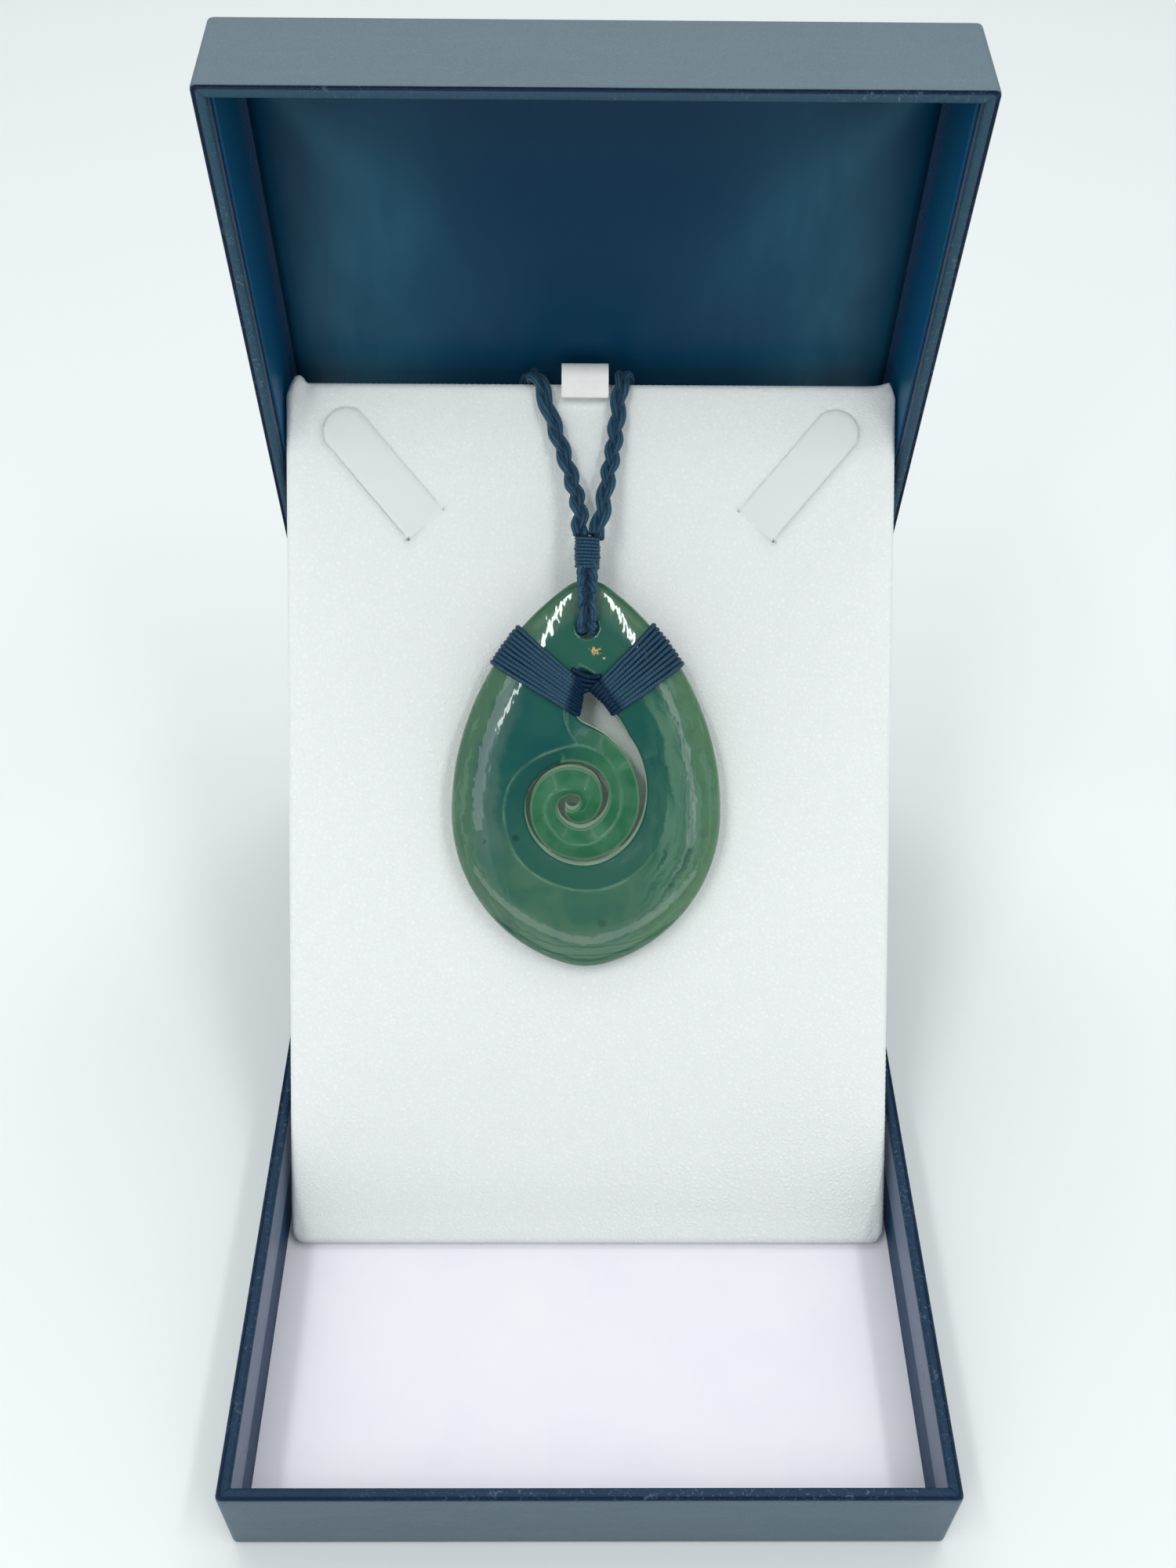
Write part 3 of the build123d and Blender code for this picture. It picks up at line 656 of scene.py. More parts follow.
def fill_region(loops: list, extra: np.ndarray) -> tuple:
    """Triangulates the region between closed loops.

    Args:
        loops: The region's closed loops. Its own edges are kept.
        extra: Further points inside it.

    Returns:
        Points, triangles and for each loop its points' numbers.
    """
    coords, edges, owners = [], [], []
    for loop in loops:
        start = len(coords)
        coords += [Vector((float(p[0]), float(p[1]))) for p in loop]
        n = len(loop)
        edges += [(start + i, start + (i + 1) % n) for i in range(n)]
        owners.append(range(start, start + n))
    coords += [Vector((float(p[0]), float(p[1]))) for p in extra]
    out = geometry.delaunay_2d_cdt(coords, edges, [], 0, 1e-6, True)
    verts = np.array([(v.x, v.y) for v in out[0]])
    tris = np.array([f for f in out[2] if len(f) == 3])
    centres = verts[tris].mean(axis=1)
    tris = tris[inside(centres, loops)]
    place = {}
    for number, sources in enumerate(out[3]):
        for source in sources:
            place[source] = number
    numbers = [[place[i] for i in owner] for owner in owners]
    a, b, c = verts[tris[:, 0]], verts[tris[:, 1]], verts[tris[:, 2]]
    area = (b[:, 0] - a[:, 0]) * (c[:, 1] - a[:, 1]) - (c[:, 0] - a[:, 0]) * (b[:, 1] - a[:, 1])
    tris[area < 0] = tris[area < 0][:, ::-1]
    return verts, tris, numbers


def thin(points: np.ndarray, gap: float) -> np.ndarray:
    """Drops points that lie closer than the gap to an earlier one.

    Args:
        points: Rows of x, y.
        gap: The least distance.

    Returns:
        The points that stay.
    """
    cells, kept = set(), []
    for p in points:
        cell = (int(round(p[0] / gap)), int(round(p[1] / gap)))
        if cell not in cells:
            cells.add(cell)
            kept.append(p)
    return np.array(kept)


def rounded_ring(width: float, depth: float, radius: float) -> np.ndarray:
    """Draws a rectangle with round corners as a fixed number of points round the middle.

    Args:
        width: Its width.
        depth: Its depth.
        radius: Radius of its corners.

    Returns:
        Rows of x, y.
    """
    points = []
    x, y = width / 2 - radius, depth / 2 - radius
    corners = ((x, -y, -90, width), (x, y, 0, depth), (-x, y, 90, width), (-x, -y, 180, depth))
    for i, (cx, cy, start, _) in enumerate(corners):
        arc = np.radians(np.linspace(start, start + 90, 7))
        points += list(np.column_stack([cx + radius * np.cos(arc), cy + radius * np.sin(arc)]))
        nx, ny, ns, _ = corners[(i + 1) % 4]
        end = np.array([nx + radius * math.cos(math.radians(ns)), ny + radius * math.sin(math.radians(ns))])
        points += list(np.linspace(points[-1], end, 18)[1:-1])
    return np.array(points)


def rounded_rectangle(width: float, length: float, radius: float, step: float) -> np.ndarray:
    """Draws a rectangle with round corners, standing on the middle of its lower side.

    Args:
        width: Its width.
        length: Its length.
        radius: Radius of its corners.
        step: About the distance between its points.

    Returns:
        Rows of x, y.
    """
    x, top = width / 2 - radius, length - radius
    corners = []
    for cx, cy, start in ((x, radius, -90), (x, top, 0), (-x, top, 90), (-x, radius, 180)):
        for a in np.radians(np.linspace(start, start + 90, 9)):
            corners.append((cx + radius * math.cos(a), cy + radius * math.sin(a)))
    return resample(np.array(corners), step)


def panel_bmesh(width: float, depth: float, thickness: float, corner: float, upper_edge: float) -> bmesh.types.BMesh:
    """Builds a flat panel with rounded corners and a rounded upper edge.

    Args:
        width: Its width.
        depth: Its depth.
        thickness: Its thickness.
        corner: Radius of its corners.
        upper_edge: Radius of its upper edge, or 0.

    Returns:
        The bmesh, in millimetres, with its underside at z = 0.
    """
    bm = bmesh.new()
    bmesh.ops.create_cube(bm, size=1.0)
    bmesh.ops.scale(bm, vec=(width, depth, thickness), verts=bm.verts)
    bmesh.ops.translate(bm, vec=(0, 0, thickness / 2), verts=bm.verts)
    uprights = [e for e in bm.edges if abs(e.verts[0].co.z - e.verts[1].co.z) > thickness / 2]
    bmesh.ops.bevel(bm, geom=uprights, offset=corner, segments=5, profile=0.5, affect="EDGES")
    if upper_edge:
        upper = [e for e in bm.edges if all(v.co.z > thickness - 1e-4 for v in e.verts)]
        bmesh.ops.bevel(bm, geom=upper, offset=upper_edge, segments=4, profile=0.5, affect="EDGES")
    return bm


def bevel_profile(share: np.ndarray) -> np.ndarray:
    """Shapes a bevel: a clear ridge, then a slightly hollow fall."""
    return 0.8 * share + 0.2 * share**2


# ---- Shader helpers and shared effects


def srgb(*parts: float) -> tuple:
    """Turns a colour's red, green and blue in 0 to 255 into a linear one with alpha."""
    shares = [part / 255 for part in parts]
    return (*(c / 12.92 if c <= 0.04045 else ((c + 0.055) / 1.055) ** 2.4 for c in shares), 1.0)


class Graph:
    """Short ways to add and link nodes of one node tree."""

    def __init__(self, tree: NodeTree) -> None:
        """Takes the tree."""
        self.tree = tree

    def node(self, kind: str, inputs: dict | None = None, **settings: str | NodeTree) -> bpy.types.Node:
        """Adds a node.

        Args:
            kind: Its type.
            inputs: Links or values of its inputs, by name or number.
            **settings: Its properties.

        Returns:
            The node.
        """
        made = self.tree.nodes.new(kind)
        for key, value in settings.items():
            setattr(made, key, value)
        for key, value in (inputs or {}).items():
            if isinstance(value, NodeSocket):
                self.link(value, made.inputs[key])
            else:
                made.inputs[key].default_value = value
        return made

    def link(self, source: NodeSocket, target: NodeSocket) -> None:
        """Links an output socket to an input socket."""
        self.tree.links.new(source, target)

    def math(self, operation: str, a: Value, b: Value = 0.0) -> NodeSocket:
        """Adds a math node."""
        return self.node("ShaderNodeMath", {0: a, 1: b}, operation=operation).outputs[0]

    def mul(self, a: Value, b: Value) -> NodeSocket:
        """Multiplies."""
        return self.math("MULTIPLY", a, b)

    def add(self, a: Value, b: Value) -> NodeSocket:
        """Adds."""
        return self.math("ADD", a, b)

    def sub(self, a: Value, b: Value) -> NodeSocket:
        """Subtracts."""
        return self.math("SUBTRACT", a, b)

    def div(self, a: Value, b: Value) -> NodeSocket:
        """Divides."""
        return self.math("DIVIDE", a, b)

    def magnitude(self, a: Value) -> NodeSocket:
        """Drops the sign."""
        return self.math("ABSOLUTE", a)

    def parts(self, vector: NodeSocket) -> bpy.types.NodeOutputs:
        """Splits a vector into its X, Y and Z."""
        return self.node("ShaderNodeSeparateXYZ", {0: vector}).outputs

    def combine(self, x: NodeSocket, y: NodeSocket) -> NodeSocket:
        """Makes a vector of its X and Y."""
        return self.node("ShaderNodeCombineXYZ", {"X": x, "Y": y}).outputs[0]

    def mapped(self, vector: NodeSocket, **values: tuple) -> NodeSocket:
        """Turns or scales a vector."""
        return self.node("ShaderNodeMapping", {"Vector": vector, **values}).outputs[0]

    def span(self, value: Value, low: Value, high: Value, first: Value = 0.0, last: Value = 1.0) -> NodeSocket:
        """Maps the range from low to high smoothly onto the one from first to last."""
        inputs = {"Value": value, "From Min": low, "From Max": high, "To Min": first, "To Max": last}
        return self.node("ShaderNodeMapRange", inputs, interpolation_type="SMOOTHSTEP").outputs["Result"]

    def mix(self, factor: Value, a: Value, b: Value) -> NodeSocket:
        """Mixes two colours; the factor is the second one's share."""
        return self.node("ShaderNodeMix", {0: factor, 6: a, 7: b}, data_type="RGBA").outputs[2]

    def noise(self, vector: NodeSocket, scale: Value, *rest: float, output: str = "Fac") -> NodeSocket:
        """Adds a noise texture with a scale and, in turn, a detail, a roughness and a distortion."""
        names = ("Vector", "Scale", "Detail", "Roughness", "Distortion")
        return self.node("ShaderNodeTexNoise", dict(zip(names, (vector, scale, *rest)))).outputs[output]

    def attribute(self, name: str) -> NodeSocket:
        """Reads a number that is stored on the piece."""
        return self.node("ShaderNodeAttribute", attribute_name=name).outputs["Fac"]

    def group(self, group: NodeTree, vector: NodeSocket, **values: float) -> bpy.types.NodeOutputs:
        """Places a group with its own values and returns its outputs."""
        return self.node("ShaderNodeGroup", {"Vector": vector, **values}, node_tree=group).outputs

    def bump(self, height: NodeSocket, distance: float, **normal: NodeSocket) -> NodeSocket:
        """Turns a height into a normal, with the metres that a height of 1 stands for."""
        inputs = {"Strength": 1.0, "Distance": distance, "Height": height, **normal}
        return self.node("ShaderNodeBump", inputs).outputs["Normal"]

    def distance_to(self, at: tuple, x: float, y: float, reach: float, squash: float = 1.0) -> NodeSocket:
        """Gives a point's distance from a place on the stone, as a share of a reach.

        Args:
            at: The point, across and up.
            x: The place across.
            y: The place up.
            reach: The reach across.
            squash: The reach up, as a share of it.

        Returns:
            The share.
        """
        dx = self.div(self.sub(at[0], x), reach)
        dy = self.div(self.sub(at[1], y), reach * squash)
        return self.math("SQRT", self.add(self.mul(dx, dx), self.mul(dy, dy)))


# The shader's sockets in the order of a finish's values
FINISH_SOCKETS = (
    "Roughness", "Specular IOR Level", "Coat Weight", "Coat Roughness", "Sheen Weight", "Sheen Roughness",
    "Subsurface Weight", "Metallic",
)


@dataclass(frozen=True)
class Finish:
    """Fixed values of one finish's shader."""

    name: str
    roughness: float = 0.5
    specular: float = 0.5
    coat: float = 0.0
    coat_roughness: float = 0.1
    sheen: float = 0.0
    sheen_roughness: float = 0.4
    subsurface: float = 0.0
    metallic: float = 0.0


def new_material(finish: Finish) -> tuple:
    """Makes a material with the finish's fixed values set on the shader's own sockets.

    Args:
        finish: The fixed values.

    Returns:
        The material, its graph and its shader node.
    """
    material = bpy.data.materials.new(finish.name)
    material.use_nodes = True
    graph = Graph(material.node_tree)
    shader = material.node_tree.nodes["Principled BSDF"]
    for name, value in zip(FINISH_SOCKETS, astuple(finish)[1:]):
        shader.inputs[name].default_value = value
    return material, graph, shader


def new_group(name: str, inputs: dict, outputs: tuple) -> tuple:
    """Makes a shader node group with named float sockets.

    Args:
        name: The group's name.
        inputs: Socket names with their first values, besides Vector.
        outputs: Names of the outputs.

    Returns:
        The group, its graph, its input node and its output node.
    """
    group = bpy.data.node_groups.new(name, "ShaderNodeTree")
    group.interface.new_socket("Vector", in_out="INPUT", socket_type="NodeSocketVector")
    for key, value in inputs.items():
        socket = group.interface.new_socket(key, in_out="INPUT", socket_type="NodeSocketFloat")
        socket.default_value = value
    for key in outputs:
        group.interface.new_socket(key, in_out="OUTPUT", socket_type="NodeSocketFloat")
    graph = Graph(group)
    return group, graph, graph.node("NodeGroupInput"), graph.node("NodeGroupOutput")


def leather_group() -> NodeTree:
    """Makes the pebbled grain that the wrap and the pad share.

    Returns:
        A group with inputs Vector, Size and Softness and outputs Height and CreaseShade, the share of painted shade in
        the grain's hollows.
    """
    group, g, start, end = new_group("leather_grain", {"Size": 1400.0, "Softness": 0.35}, ("Height", "CreaseShade"))
    vector, size = start.outputs["Vector"], start.outputs["Size"]
    wobble = g.noise(vector, size, output="Color")
    shift = g.node("ShaderNodeVectorMath", {0: wobble, "Scale": 0.0007}, operation="SCALE").outputs[0]
    place = g.node("ShaderNodeVectorMath", {0: vector, 1: shift}, operation="ADD").outputs[0]
    cells = g.node("ShaderNodeTexVoronoi", {"Vector": place, "Scale": size}, feature="DISTANCE_TO_EDGE")
    edge = g.span(cells.outputs["Distance"], 0.0, start.outputs["Softness"])
    fine = g.noise(vector, g.mul(size, 2.3))
    g.link(g.add(g.mul(edge, 0.75), g.mul(fine, 0.25)), end.inputs["Height"])
    # The hollows between the grain's cells, for painted shade.
    g.link(g.sub(1.0, edge), end.inputs["CreaseShade"])
    return group


def fibre_group() -> NodeTree:
    """Makes the twisted fibres that cord and thread share.

    Returns:
        A group with inputs Vector (the fibre UV), Pitch and Plies and outputs Height and GrooveShade, the share of
        painted shade between the plies.
    """
    group, g, start, end = new_group("twisted_fibre", {"Pitch": 1.2, "Plies": 3.0}, ("Height", "GrooveShade"))
    uv = g.parts(start.outputs["Vector"])
    along = g.div(uv["X"], start.outputs["Pitch"])
    around = g.mul(uv["Y"], start.outputs["Plies"])
    rough = g.noise(g.combine(g.mul(uv["X"], 0.9), g.mul(uv["Y"], 5.0)), 2.2, 4.0)
    phase = g.add(g.add(along, around), g.mul(rough, 0.5))
    ply = g.magnitude(g.math("SINE", g.mul(phase, math.pi)))
    g.link(g.add(g.mul(ply, 0.6), g.mul(rough, 0.5)), end.inputs["Height"])
    g.link(g.sub(1.0, ply), end.inputs["GrooveShade"])
    return group


def object_vector(g: Graph) -> NodeSocket:
    """Returns the Object coordinates of the piece."""
    return g.node("ShaderNodeTexCoord").outputs["Object"]


def plain_look(finish: Finish, color: tuple, second: tuple, scale: float, depth: float) -> Material:
    """Makes a plain finish with a soft change of tone and, with a depth, a soft unevenness.

    Args:
        finish: Its fixed values.
        color: Its colour.
        second: The colour that it changes to.
        scale: Size of the pattern, per metre.
        depth: Depth of its unevenness in metres, or 0.

    Returns:
        The material.
    """
    material, g, shader = new_material(finish)
    tone = g.noise(object_vector(g), scale, 3.0, 0.55)
    g.link(g.mix(g.span(tone, 0.3, 0.7), color, second), shader.inputs["Base Color"])
    if depth:
        g.link(g.bump(tone, depth), shader.inputs["Normal"])
    return material


LOOKS: dict[Slot, Material] = {}


# ---- Stone


@dataclass(frozen=True)
class CarvedStone:
    """The carved stone: its sizes, its faces and its polish."""

    half_width: float = 20.75
    top: float = 29.87
    bottom: float = 29.85
    widest_below: float = 5.84
    upper_side_radius: float = 42.95
    lower_side_radius: float = 24.57
    thickness: float = 6.4
    front_dome: float = 300.0
    back_dome: float = 350.0
    up_the_pad: float = 74.9
    to_the_left: float = 0.6
    tilt: float = 3.5
    seat: float = 0.3
    rim_width: float = 7.6
    hole_up: float = 22.75
    hole_radius: float = 1.6
    eye_x: float = -2.13
    eye_y: float = -3.89
    bevel_depth: float = 1.05
    spacing: float = 0.36
    finish: Finish = Finish("polished_green_stone", 0.1, 0.15, coat=0.9, coat_roughness=0.03, subsurface=0.12)

    def dome(self, x: float | np.ndarray, y: float | np.ndarray, radius: float) -> float | np.ndarray:
        """Height of a domed face over the stone's middle plane.

        Args:
            x: Across the stone.
            y: Up the stone.
            radius: The dome's radius.

        Returns:
            The height, of the same kind as x and y.
        """
        return self.thickness / 2 - (x * x + y * y) / (2 * radius)

    def frame(self) -> Matrix:
        """Places the stone frame in the row frame, resting on the pad.

        Returns:
            The matrix, in millimetres.
        """
        tilt = math.radians(self.tilt)
        heights = [
            y * math.sin(tilt) - self.dome(0, y, self.back_dome) * math.cos(tilt)
            for y in np.linspace(1.7 - self.bottom, 20, 60)
        ]
        lift = self.seat - min(heights)
        place = Matrix.Translation((-self.to_the_left, self.up_the_pad, lift)) @ Matrix.Rotation(tilt, 4, "X")
        return PAD.frame() @ place

    @cached_property
    def curves(self) -> dict:
        """Samples the slot's table smoothly at every degree.

        Returns:
            The angles and each column's values at them.
        """
        angles = np.arange(SLOT_FIRST, EYE_LAST + 0.5, 1.0)
        known = np.array([r.angle for r in SLOT])
        columns = {"angle": angles}
        for name in SLOT_COLUMNS:
            values = np.array([getattr(r, name) for r in SLOT])
            slopes = np.gradient(values, known)
            k = np.clip(np.searchsorted(known, angles, side="right") - 1, 0, len(known) - 2)
            span = known[k + 1] - known[k]
            t = (angles - known[k]) / span
            columns[name] = (
                (2 * t**3 - 3 * t**2 + 1) * values[k]
                + (t**3 - 2 * t**2 + t) * span * slopes[k]
                + (3 * t**2 - 2 * t**3) * values[k + 1]
                + (t**3 - t**2) * span * slopes[k + 1]
            )
        return columns

    @cached_property
    def loops(self) -> tuple:
        """Draws the outline, the edge of the opening and the edge of the hole as closed loops.

        Returns:
            The three loops.
        """
        turn = np.linspace(0, 2 * math.pi, 72, endpoint=False)
        hole = np.column_stack([self.hole_radius * np.cos(turn), self.hole_up + self.hole_radius * np.sin(turn)])
        return self.outline_loop(), resample(self.opening_loop(), 0.16), hole

    def around_eye(self, angle: np.ndarray, radius: np.ndarray) -> np.ndarray:
        """Places points given by clockwise angle from up and distance from the eye."""
        turn = np.radians(angle)
        return np.column_stack([self.eye_x + radius * np.sin(turn), self.eye_y + radius * np.cos(turn)])

    def from_eye(self, points: np.ndarray) -> tuple:
        """Returns the points' distances from the eye and their clockwise angles from up."""
        dx, dy = points[:, 0] - self.eye_x, points[:, 1] - self.eye_y
        return np.hypot(dx, dy), np.degrees(np.arctan2(dx, dy)) % 360

    def opening_loop(self) -> np.ndarray:
        """Draws the edge of the whole opening, mouth, slot and eye, as one closed loop.

        Returns:
            Rows of x, y in the stone frame.
        """
        curves = self.curves
        angle = curves["angle"]
        slot = (angle >= SLOT_FIRST) & (angle <= SLOT_LAST)
        outer = self.around_eye(angle, curves["outer"])
        inner = self.around_eye(angle[slot], curves["inner"][slot])
        mouth = np.array([(row.x, row.y) for row in MOUTH])
        right = smooth_line(np.vstack([outer[2], outer[0], mouth, inner[0], inner[2]]), 0.15)
        first = np.argmin(np.linalg.norm(right - outer[0], axis=1))
        last = np.argmin(np.linalg.norm(right - inner[0], axis=1))
        mouth_line = right[first : last + 1]
        return np.vstack([mouth_line[:-1], inner, outer[::-1][1:-1]])

    def outline_loop(self) -> np.ndarray:
        """Draws the stone's outline as one closed loop: two side arcs, and a small arc at each tip.

        Returns:
            Rows of x, y in the stone frame.
        """
        quarters = []
        for side_radius, reach in (
            (self.upper_side_radius, self.top + self.widest_below),
            (self.lower_side_radius, self.bottom - self.widest_below),
        ):
            inset = self.half_width - side_radius
            radius = (inset**2 + reach**2 - side_radius**2) / (2 * (reach - side_radius))
            tip = reach - radius
            split = math.atan2(tip, -inset)
            side_turn = np.linspace(0, split, 80)
            side = np.column_stack([inset + side_radius * np.cos(side_turn), side_radius * np.sin(side_turn)])
            tip_turn = np.linspace(split, math.pi / 2, 60)[1:]
            end = np.column_stack([radius * np.cos(tip_turn), tip + radius * np.sin(tip_turn)])
            quarters.append(np.vstack([side, end]))
        top, low = quarters
        low = low * (1, -1)
        right = np.vstack([low[::-1], top[1:]])
        left = right[::-1][1:-1] * (-1, 1)
        loop = np.vstack([right, left]) + (0, -self.widest_below)
        return resample(loop, 0.28)

    def slot_bevel(self, points: np.ndarray) -> np.ndarray:
        """How far the faces round the slot and eye fall, as a share of the full bevel.

        Args:
            points: Rows of x, y in the stone frame.

        Returns:
            One share per point.
        """
        radius, base = self.from_eye(points)
        share = np.zeros(len(points))
        for k in range(3):
            turn = base + 360 * k
            live = (turn >= SLOT_FIRST) & (turn <= EYE_LAST)
            value = {n: np.interp(turn, self.curves["angle"], self.curves[n]) for n in SLOT_COLUMNS}
            fade = ease(np.clip((turn - SLOT_FIRST - 4) / 22.0, 0, 1))
            reach = np.maximum(value["outer_ridge"] - value["outer"], 0.15)
            t = np.clip((value["outer_ridge"] - radius) / reach, 0, 1)
            high = np.where(radius > value["outer"] - 0.4, t, 0) * np.minimum(reach / 1.1, 1)
            reach = np.maximum(value["inner"] - value["inner_ridge"], 0.15)
            t = np.clip((radius - value["inner_ridge"]) / reach, 0, 1)
            low = np.where((radius < value["inner"] + 0.4) & (turn <= SLOT_LAST), t, 0) * np.minimum(reach / 1.1, 1)
            share = np.maximum(share, np.where(live, np.maximum(high, low) * fade, 0))
        return share

    def mouth_bevel(self, points: np.ndarray) -> tuple:
        """How far the faces round the mouth fall, as a share of the full bevel, and the depth of that fall.

        Args:
            points: Rows of x, y in the stone frame.

        Returns:
            One share and one depth per point.
        """
        rows = np.array([(r.x, r.y, r.reach, r.depth) for r in MOUTH])
        turns = np.array([70.0, 64, 58, 52, 46, 41])
        outer, inner, high, low = (np.interp(turns, self.curves["angle"], self.curves[name]) for name in SLOT_COLUMNS)
        plain = np.ones(len(turns))
        before = np.column_stack([self.around_eye(turns, outer), high - outer, plain])
        after = np.column_stack([self.around_eye(turns, inner), inner - low, plain])[::-1]
        line = smooth_line(np.vstack([before, rows, after]), 0.1)
        distance, number = nearest(points, line[:, :2])
        reach = line[number, 2]
        ends = np.minimum(number, len(line) - 1 - number) * 0.1
        fade = ease(np.clip((ends - 0.4) / 3.2, 0, 1))
        chevron = 17.35 - (points[:, 0] + 1.3) * 0.589
        below = np.clip((chevron - points[:, 1]) / 0.5, 0, 1)
        return np.clip(1 - distance / reach, 0, 1) * fade * below, line[number, 3]

    def heights(self, points: np.ndarray) -> tuple:
        """Heights of the stone's two faces.

        Args:
            points: Rows of x, y in the stone frame.

        Returns:
            Front heights, back heights, distance to the outline, the bevel's share and distance to the opening.
        """
        x, y = points[:, 0], points[:, 1]
        rim, cut, bore = (nearest(points, resample(loop, EDGE_STEP))[0] for loop in self.loops)
        slot_share = self.slot_bevel(points)
        mouth_share, depth = self.mouth_bevel(points)
        share = np.maximum(slot_share, mouth_share)
        fall = np.maximum(bevel_profile(slot_share), bevel_profile(mouth_share) * depth)
        inset = np.clip(1 - rim / self.rim_width, 0, 1)
        pillow = np.sqrt(np.clip(1 - inset**2.3, 0, 1))
        front = self.dome(x, y, self.front_dome) * pillow - self.bevel_depth * fall
        back = self.dome(x, y, self.back_dome) * np.sqrt(np.clip(1 - np.clip(1 - rim / 3.4, 0, 1) ** 2.4, 0, 1))
        brink = round_over(cut, 0.3) + round_over(bore, 0.5)
        return front - brink, back - brink, rim, share, cut

    def inner_points(self) -> np.ndarray:
        """Chooses the points inside the stone: rows along its edges and ridges, and an even field.

        Returns:
            Rows of x, y in the stone frame.
        """
        outline, opening, hole = self.loops
        spacing = self.spacing
        rows = []
        edges = np.vstack([resample(loop, EDGE_STEP) for loop in self.loops])
        for loop, into, offsets in (
            (outline, True, (0.02, 0.07, 0.16, 0.3, 0.5, 0.8, 1.15, 1.5)),
            (opening, False, (0.04, 0.1, 0.18, 0.28, 0.42)),
            (hole, False, (0.05, 0.13, 0.25, 0.4, 0.6)),
        ):
            normals = inward(loop, into)
            for offset in offsets:
                moved = loop + normals * offset
                distance, _ = nearest(moved, edges)
                rows.append(moved[distance > offset * 0.93])
        angle = self.curves["angle"]
        for name, low, high in (("outer_ridge", 44, 968), ("inner_ridge", 44, 300)):
            use = (angle >= low) & (angle <= high)
            line = self.around_eye(angle[use], self.curves[name][use])
            keep = [0]
            for i in range(1, len(line)):
                if np.linalg.norm(line[i] - line[keep[-1]]) > 0.22:
                    keep.append(i)
            rows.append(line[keep])
        chosen = np.vstack(rows)
        distance, _ = nearest(chosen, edges)
        chosen = chosen[distance > 0.015]
        xs = np.arange(-self.half_width, self.half_width, spacing)
        ys = np.arange(-self.bottom, self.top, spacing * 0.866)
        field = np.array([(x + (spacing / 2 if j % 2 else 0), y) for j, y in enumerate(ys) for x in xs])
        field = field[inside(field, self.loops)]
        distance, _ = nearest(field, edges)
        away, _ = nearest(field, chosen)
        field = field[(distance > 0.5) & (away > spacing * 0.55)]
        return np.vstack([thin(chosen, 0.035), field])

    def coil_mask(self, points: np.ndarray) -> np.ndarray:
        """Marks the spiral's coil and the neck that carries it, softly.

        Args:
            points: Rows of x, y in the stone frame.

        Returns:
            One share per point.
        """
        radius, base = self.from_eye(points)
        known = [0, 8, 40, 60, 80, 100, 130, 160, 190, 220, 250, 280, 310, 340, 350, 360]
        reach = [11.0, 11.6, 11.3, 10.75, 10.4, 10.3, 9.95, 9.35, 8.55, 7.7, 6.85, 6.35, 5.95, 5.6, 8.0, 11.0]
        mask = np.clip((np.interp(base, known, reach) - radius) / 0.25 + 0.5, 0, 1)
        neck = np.clip((radius - 6.4) / 0.5, 0, 1) * ((base < 60) | (base > 345))
        return mask * (1 - neck * (1 - np.clip(((base + 10) % 360) / 50, 0, 1)))

    def ridge_mask(self, points: np.ndarray) -> np.ndarray:
        """Marks the thin lines along the ridges of the carving, where a highlight is painted.

        Args:
            points: Rows of x, y in the stone frame.

        Returns:
            One share per point.
        """
        angle = self.curves["angle"]
        outer = (angle >= 110) & (angle <= 700)
        lines = [self.around_eye(angle[outer], self.curves["outer_ridge"][outer])]
        crest = np.array([(-2.08, 16.8), (-2.6, 12.6), (-2.95, 10.0), (-2.75, 7.3), (-1.7, 5.5), (-0.9, 5.0)])
        lines += [smooth_line(line, 0.1) for line in (crest, np.array([(-1.3, 17.35), (0.1, 16.53), (1.5, 15.7)]))]
        distance, _ = nearest(points, np.vstack(lines))
        return np.clip(1 - distance / 0.3, 0, 1)

    def make(self) -> Object:
        """Builds the carved stone as one closed mesh.

        Returns:
            The stone.
        """
        flat, tris, loops = fill_region(self.loops, self.inner_points())
        front, back, rim, share, cut = self.heights(flat)
        count = len(flat)
        rim_numbers = loops[0]
        front[rim_numbers] = 0
        back[rim_numbers] = 0
        points = [np.column_stack([flat, front]), np.column_stack([flat, -back])]
        shared = np.arange(2 * count)
        shared[np.array(rim_numbers) + count] = rim_numbers
        faces = [tuple(t) for t in tris] + [tuple(shared[t + count][::-1]) for t in tris]
        masks = {
            "rim": rim,
            "across": flat[:, 0],
            "up": flat[:, 1],
            "bevel": share,
            "coil": self.coil_mask(flat),
            "ridge": self.ridge_mask(flat),
            # edge carries a painted highlight along the opening's edge on the coil.
            "edge": np.clip((0.42 - cut) / 0.16, 0, 1) * self.coil_mask(flat),
            # wall marks the slot's walls, which get a painted pale colour that gives off light.
            "wall": np.zeros(count),
        }
        values = {key: [value, value * (key in ("rim", "across", "up"))] for key, value in masks.items()}
        start = 2 * count
        for numbers in loops[1:]:
            area = flat[numbers]
            turning = np.sum(area[:, 0] * np.roll(area[:, 1], -1) - np.roll(area[:, 0], -1) * area[:, 1])
            order = numbers if turning > 0 else numbers[::-1]
            rings = [np.array(order)]
            for level in (0.15, 0.5, 0.85):
                height = front[order] * (1 - level) - back[order] * level
                points.append(np.column_stack([flat[order], height]))
                rings.append(np.arange(start, start + len(order)))
                start += len(order)
                for key in masks:
                    # The opening's side rings are marked as slot wall, for its painted self-lit colour, and as coil.
                    lit = numbers is loops[1] and key in ("wall", "coil")
                    values[key].append(np.ones(len(order)) if lit else masks[key][order])
            rings.append(np.array(order) + count)
            for upper, lower in zip(rings, rings[1:]):
                for a, b, c, d in zip(upper, np.roll(upper, -1), np.roll(lower, -1), lower):
                    faces.append((a, d, c, b))
        mesh = mesh_of("koru_stone", to_row(np.vstack(points), self.frame()), faces)
        for key, parts in values.items():
            store(mesh, key, np.concatenate(parts))
        drop_loose(mesh)
        return add_piece("carved_stone", mesh, Slot.STONE, Body.BASE, "koru_pendant")

